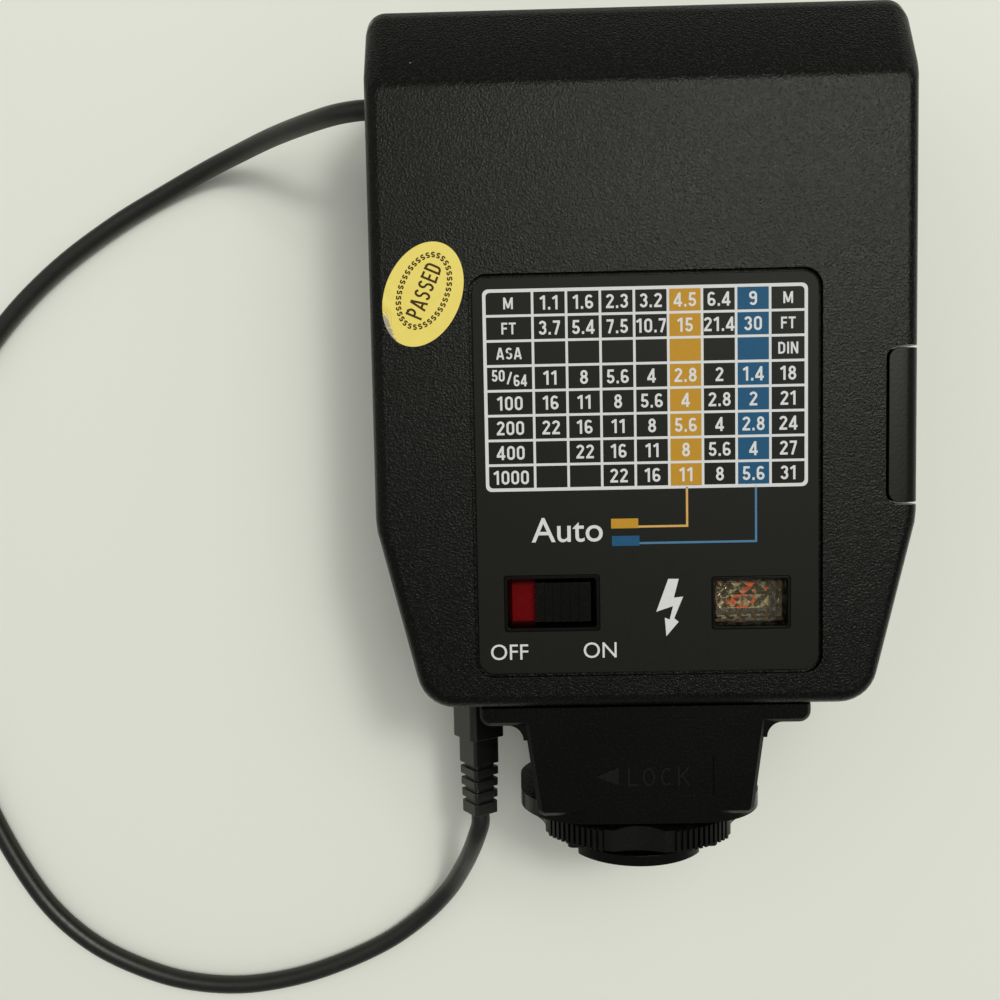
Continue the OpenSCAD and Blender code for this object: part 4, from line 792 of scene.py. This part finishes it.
def penMesh(text, height, stroke, gap, squeeze=1.0):
    # a word of pen letters, centred on its own box, in mm
    shape = bmesh.new()
    cursor = 0
    for letter in text:
        wide, paths = penLetters[letter]
        for layer, path in enumerate(paths):
            points = [Vector(((cursor + x) * height * squeeze, (y - 0.5) * height)) for x, y in path]
            layPen(shape, points, stroke * height / 2, layer * printSetup["layer"])
        cursor += wide + gap
    bmesh.ops.translate(shape, verts=shape.verts, vec=(-(cursor - gap) * height * squeeze / 2, 0, 0))
    return meshFrom(shape, "word")


def wordPiece(name, words, material, lift, thick=printSetup["ink"], fold=None):
    # words: (mesh, x, y, turn in degrees) in mm; fold: places a point on a surface
    shape = bmesh.new()
    for mesh, x, y, turn in words:
        mesh.transform(Matrix.Translation((x, y, 0)) @ Matrix.Rotation(math.radians(turn), 4, "Z"))
        shape.from_mesh(mesh)
        bpy.data.meshes.remove(mesh)
    shape.normal_update()
    thicken(shape, thick)
    for face in shape.faces:
        face.smooth = False
    for vert in shape.verts:
        vert.co = fold(vert.co) if fold else Vector((vert.co.x, vert.co.y, lift + vert.co.z)) * mm
    return trimPiece(name, shape, material)


tableWords = [
    ["M", "1.1", "1.6", "2.3", "3.2", "4.5", "6.4", "9", "M"],
    ["FT", "3.7", "5.4", "7.5", "10.7", "15", "21.4", "30", "FT"],
    ["ASA", "", "", "", "", "", "", "", "DIN"],
    ["50/64", "11", "8", "5.6", "4", "2.8", "2", "1.4", "18"],
    ["100", "16", "11", "8", "5.6", "4", "2.8", "2", "21"],
    ["200", "22", "16", "11", "8", "5.6", "4", "2.8", "24"],
    ["400", "", "22", "16", "11", "8", "5.6", "4", "27"],
    ["1000", "", "", "22", "16", "11", "8", "5.6", "31"],
]
figures = []


def addFigure(text, x, y, height, squeeze):
    word = penMesh(text, height, printSetup["figureStroke"], printSetup["figureGap"], squeeze)
    figures.append((word, x, y, 0))


for row, line in enumerate(tableWords):
    for i, text in enumerate(line):
        x = sum(columnSpan(i)) / 2
        y = tableTop - (row + 0.5) * printSetup["rowHeight"]
        if "/" in text:
            over, under = text.split("/")
            for part, (dx, dy) in zip((over, "/", under), printSetup["splitPlaces"]):
                addFigure(part, x + dx, y + dy, printSetup["splitHeight"], 1.0)
        elif text.isalpha():
            addFigure(text, x, y, printSetup["letterHeight"], printSetup["letterSqueeze"])
        elif text:
            addFigure(text, x, y, printSetup["figureHeight"], printSetup["figureSqueeze"])
inkTop = plateHigh.z / mm + printSetup["lift"] + printSetup["ink"]
wordPiece("tableFigures", figures, inkWhite, inkTop)

panelMarks = {
    "switchWordHeight": 2.3,
    "switchWordWide": 0.98,
    "off": (-19.2, -27.0),
    "on": (-6.55, -26.9),
    "autoHeight": 3.55,
    "autoBold": 0.005,
    "auto": (-10.9, -9.9),
    "ochreBar": (-4.8, -9.95, -1.05, -8.6),
    "blueBar": (-4.7, -12.4, -0.9, -11.0),
    "thread": 0.3,
    "threadTop": -4.35,
    "ochreTurn": (5.71, -9.75),
    "blueTurn": (15.2, -12.05),
    "bolt": [(3.03, -17.11), (1.33, -21.7), (3.66, -20.94), (3.18, -22.83), (2.51, -22.56), (2.7, -25.17),
             (4.43, -23.16), (3.81, -22.67), (5.07, -19.63), (3.78, -19.76), (4.48, -17.14)],
}
switchWord = panelMarks["switchWordHeight"], panelMarks["switchWordWide"]
wordPiece("switchWords", [
    (textMesh("OFF", *switchWord), *panelMarks["off"], 0),
    (textMesh("ON", *switchWord), *panelMarks["on"], 0),
    (textMesh("Auto", panelMarks["autoHeight"], bold=panelMarks["autoBold"]), *panelMarks["auto"], 0),
], inkWhite, plateHigh.z / mm + printSetup["lift"])


def linkLine(name, bar, turn, material, pale):
    # the bar beside the word, joined to its column by a thin line with one corner
    x0, y0, x1, y1 = panelMarks[bar]
    thread = panelMarks["thread"]
    cornerX, cornerY = panelMarks[turn]
    down = barOutline(cornerX - thread / 2, cornerY - thread / 2,
                      cornerX + thread / 2, panelMarks["threadTop"])
    along = barOutline(x1, cornerY - thread / 2, cornerX - thread / 2, cornerY + thread / 2)
    inkMesh(name + "Bar", [barOutline(x0, y0, x1, y1)], material)
    inkMesh(name, [down, along], pale)


linkLine("ochreLine", "ochreBar", "ochreTurn", inkOrange, inkPaleOchre)
linkLine("blueLine", "blueBar", "blueTurn", inkBlue, inkPaleBlue)
inkMesh("flashBolt", [panelMarks["bolt"]], inkWhite)
print("plate printed, figures:", len(figures))

# Word and arrow standing up from the floor of the foot's recess
lockMark = {
    "floor": 34.7,
    "thick": 0.16,
    "height": 2.8,
    "stroke": 0.1,
    "gap": 0.15,
    "squeeze": 1.27,
    "centre": (1.78, -46.2),
    "arrow": [(-7.15, -46.1), (-3.9, -47.4), (-3.9, -44.8)],
}


def arrowMesh(points):
    shape = bmesh.new()
    shape.faces.new([shape.verts.new((x, y, 0)) for x, y in points])
    return meshFrom(shape, "arrow")


lockWord = penMesh("LOCK", lockMark["height"], lockMark["stroke"], lockMark["gap"], lockMark["squeeze"])
wordPiece("lockWord", [(lockWord, *lockMark["centre"], 0), (arrowMesh(lockMark["arrow"]), 0, 0, 0)],
          letterHighlightNylon, lockMark["floor"], thick=lockMark["thick"])
print("lock mark raised")

# Oval paper seal, stuck on the rear face and folded over the rounded left edge
seal = {
    "centre": (-30.1, 22.7),
    "long": 7.4,
    "short": 5.2,
    "printCentre": (-29.95, 23.15),
    "lean": 66.2,             # degrees from the X axis to its long axis
    "thick": 0.05,
    "face": 38.0,
    "edgeX": -35.7,           # where the case's edge starts to turn
    "edgeRound": 2.0,
    "stand": 0.01,            # gap under the paper
    "printStand": 0.005,      # gap under the print
    "waveHigh": 0.1,          # the paper's waves near the edge
    "waveFrom": -33.6,
    "waveRise": 2.2,
    "waveTurns": (1.9, 2.6),  # radians per mm along X and Y
    "buckle": (-36.3, 19.3, 37.6),
    "creaseStep": 0.34,
    "creaseHalf": 0.13,       # share of the step
    "creaseNear": 1.3,        # the creases fade from here
    "creaseFar": 2.3,         # to here, measured from the buckle
    "creaseShare": 0.75,
    "creaseShadeColour": "#8A742A",
    "paper": ("#F0DD6E", "#E7D15C"),
    "paperPatch": 1.6,
    "roughness": 0.42,
    "specular": 0.35,
    "rubWay": (1, 0.35, 0),   # the rubbing fades along this, over rubSpan
    "rubSpan": (-28.5, -27.6),
    "rubBelow": (19.6, 20.6), # and along Y over this
    "rubPatch": 0.5,
    "rubRange": (0.26, 0.4),
    "rubColour": "#A49C86",
    "rings": 14,
    "spokes": 72,
    "ringLong": 5.15,
    "ringShort": 3.15,
    "marks": 36,
    "markHeight": 0.72,
    "markStroke": 0.26,
    "markSqueeze": 1.65,
    "wordHeight": 2.36,
    "wordStroke": 0.13,
    "wordGap": 0.1,
    "wordSqueeze": 0.92,
}


def sealFold(co):
    # a point at co.x, co.y on the flat face and co.z above it, laid on the case
    near = min(max((seal["waveFrom"] - co.x) / seal["waveRise"], 0), 1)
    turnsX, turnsY = seal["waveTurns"]
    ripple = 0.5 + 0.5 * math.sin(turnsY * co.y + turnsX * co.x)
    out = co.z + seal["waveHigh"] * near * ripple + seal["stand"]
    past = max(seal["edgeX"] - co.x, 0)
    turn = past / seal["edgeRound"]
    r = seal["edgeRound"] + out
    x = seal["edgeX"] - r * math.sin(turn) if past else co.x
    z = seal["face"] - seal["edgeRound"] + r * math.cos(turn)
    return Vector((x, co.y, z)) * mm


def sealDisc():
    shape = bmesh.new()
    middle = shape.verts.new((0, 0, 0))
    rings = []
    turns = [2 * math.pi * k / seal["spokes"] for k in range(seal["spokes"])]
    for i in range(1, seal["rings"] + 1):
        long, short = seal["long"] * i / seal["rings"], seal["short"] * i / seal["rings"]
        rings.append([shape.verts.new((long * math.cos(t), short * math.sin(t), 0)) for t in turns])
    for k in range(seal["spokes"]):
        after = (k + 1) % seal["spokes"]
        shape.faces.new((middle, rings[0][k], rings[0][after]))
        for inner, outer in zip(rings, rings[1:]):
            shape.faces.new((inner[k], outer[k], outer[after], inner[after]))
    return meshFrom(shape, "disc")


def sealRingTree():
    # marks set round an oval, each turned along it
    tree = bpy.data.node_groups.new("sealRing", "GeometryNodeTree")
    given = groupInputs(tree, Count="Int", Oval="Vector", Mark="Object", Ink="Material")
    circle = addNode(tree, "GeometryNodeCurvePrimitiveCircle", {"Resolution": 96, "Radius": 1.0})
    oval = addNode(tree, "GeometryNodeTransform", {"Geometry": circle.outputs["Curve"],
                                                   "Scale": given.outputs["Oval"]})
    evenly = addNode(tree, "GeometryNodeResampleCurve", {"Curve": oval.outputs["Geometry"],
                                                         "Count": given.outputs["Count"]})
    mark = addNode(tree, "GeometryNodeObjectInfo", {"Object": given.outputs["Mark"]})
    along = addNode(tree, "GeometryNodeInputTangent")
    turned = addNode(tree, "FunctionNodeAlignRotationToVector", {"Vector": along.outputs["Tangent"]},
                     axis="X")
    spread = addNode(tree, "GeometryNodeInstanceOnPoints", {"Points": evenly.outputs["Curve"],
                                                            "Instance": mark.outputs["Geometry"],
                                                            "Rotation": turned.outputs["Rotation"]})
    return inkedOutput(tree, spread, given)


# varnished yellow paper: soft sheen, darker arcs of painted crease shade, and grey where the folded edge
# has rubbed
sealPaper, sealTree, sealShader = plainMaterial("varnishedSealPaper", Roughness=seal["roughness"],
                                                Specular_IOR_Level=seal["specular"])
sealPlace = objectPlace(sealTree)
sealSkin = mixed(sealTree, noiseOf(sealTree, sealPlace, seal["paperPatch"], Detail=4.0), *seal["paper"])
# painted shade of creases: darker arcs round the spot where the paper buckles
sealFar = addNode(sealTree, "ShaderNodeVectorMath", {0: sealPlace, 1: Vector(seal["buckle"]) * mm},
                  operation="DISTANCE").outputs["Value"]
sealSaw = mathOf(sealTree, "FRACT", mathOf(sealTree, "MULTIPLY", sealFar, 1 / (seal["creaseStep"] * mm)))
sealArc = mathOf(sealTree, "COMPARE", sealSaw, 0.5, seal["creaseHalf"])
sealNear = ranged(sealTree, sealFar, seal["creaseNear"] * mm, seal["creaseFar"] * mm,
                  seal["creaseShare"], 0.0)
sealSkin = mixed(sealTree, mathOf(sealTree, "MULTIPLY", sealArc, sealNear), sealSkin, seal["creaseShadeColour"])
# the lower left rim has rubbed through to the grey below
sealSlant = addNode(sealTree, "ShaderNodeVectorMath", {0: sealPlace, 1: seal["rubWay"]},
                    operation="DOT_PRODUCT").outputs["Value"]
sealHeight = addNode(sealTree, "ShaderNodeSeparateXYZ", {"Vector": sealPlace}).outputs["Y"]
sealRim = mathOf(sealTree, "MULTIPLY",
                 ranged(sealTree, sealSlant, *(at * mm for at in seal["rubSpan"]), 1.0, 0.0),
                 ranged(sealTree, sealHeight, *(at * mm for at in seal["rubBelow"]), 1.0, 0.0))
sealChip = mathOf(sealTree, "MULTIPLY", sealRim, noiseOf(sealTree, sealPlace, seal["rubPatch"], Detail=3.0))
sealSkin = mixed(sealTree, ranged(sealTree, sealChip, *seal["rubRange"]), sealSkin, seal["rubColour"])
feed(sealTree, sealShader, Base_Color=sealSkin)

wordPiece("sealPaper", [(sealDisc(), *seal["centre"], seal["lean"])], sealPaper, 0,
          thick=seal["thick"], fold=sealFold)
sealMark = penMesh("S", seal["markHeight"], seal["markStroke"], 0, seal["markSqueeze"])
markObject = newObject("sealMark", sealMark)
ringObject = nodePiece("sealRing", sealRingTree(), Count=seal["marks"], Ink=inkBrown, Mark=markObject,
                       Oval=(seal["ringLong"], seal["ringShort"], 1))
ringMarks = ringObject.data.copy()
bpy.data.objects.remove(ringObject)
bpy.data.objects.remove(markObject)


def onSeal(co):
    # as sealFold, on top of the paper
    return sealFold(co + Vector((0, 0, seal["thick"] + seal["printStand"])))


sealWord = penMesh("PASSED", seal["wordHeight"], seal["wordStroke"], seal["wordGap"], seal["wordSqueeze"])
wordPiece("sealPrint", [(mesh, *seal["printCentre"], seal["lean"]) for mesh in (sealWord, ringMarks)],
          inkBrown, 0, fold=onSeal)
print("seal stuck on, marks:", seal["marks"])
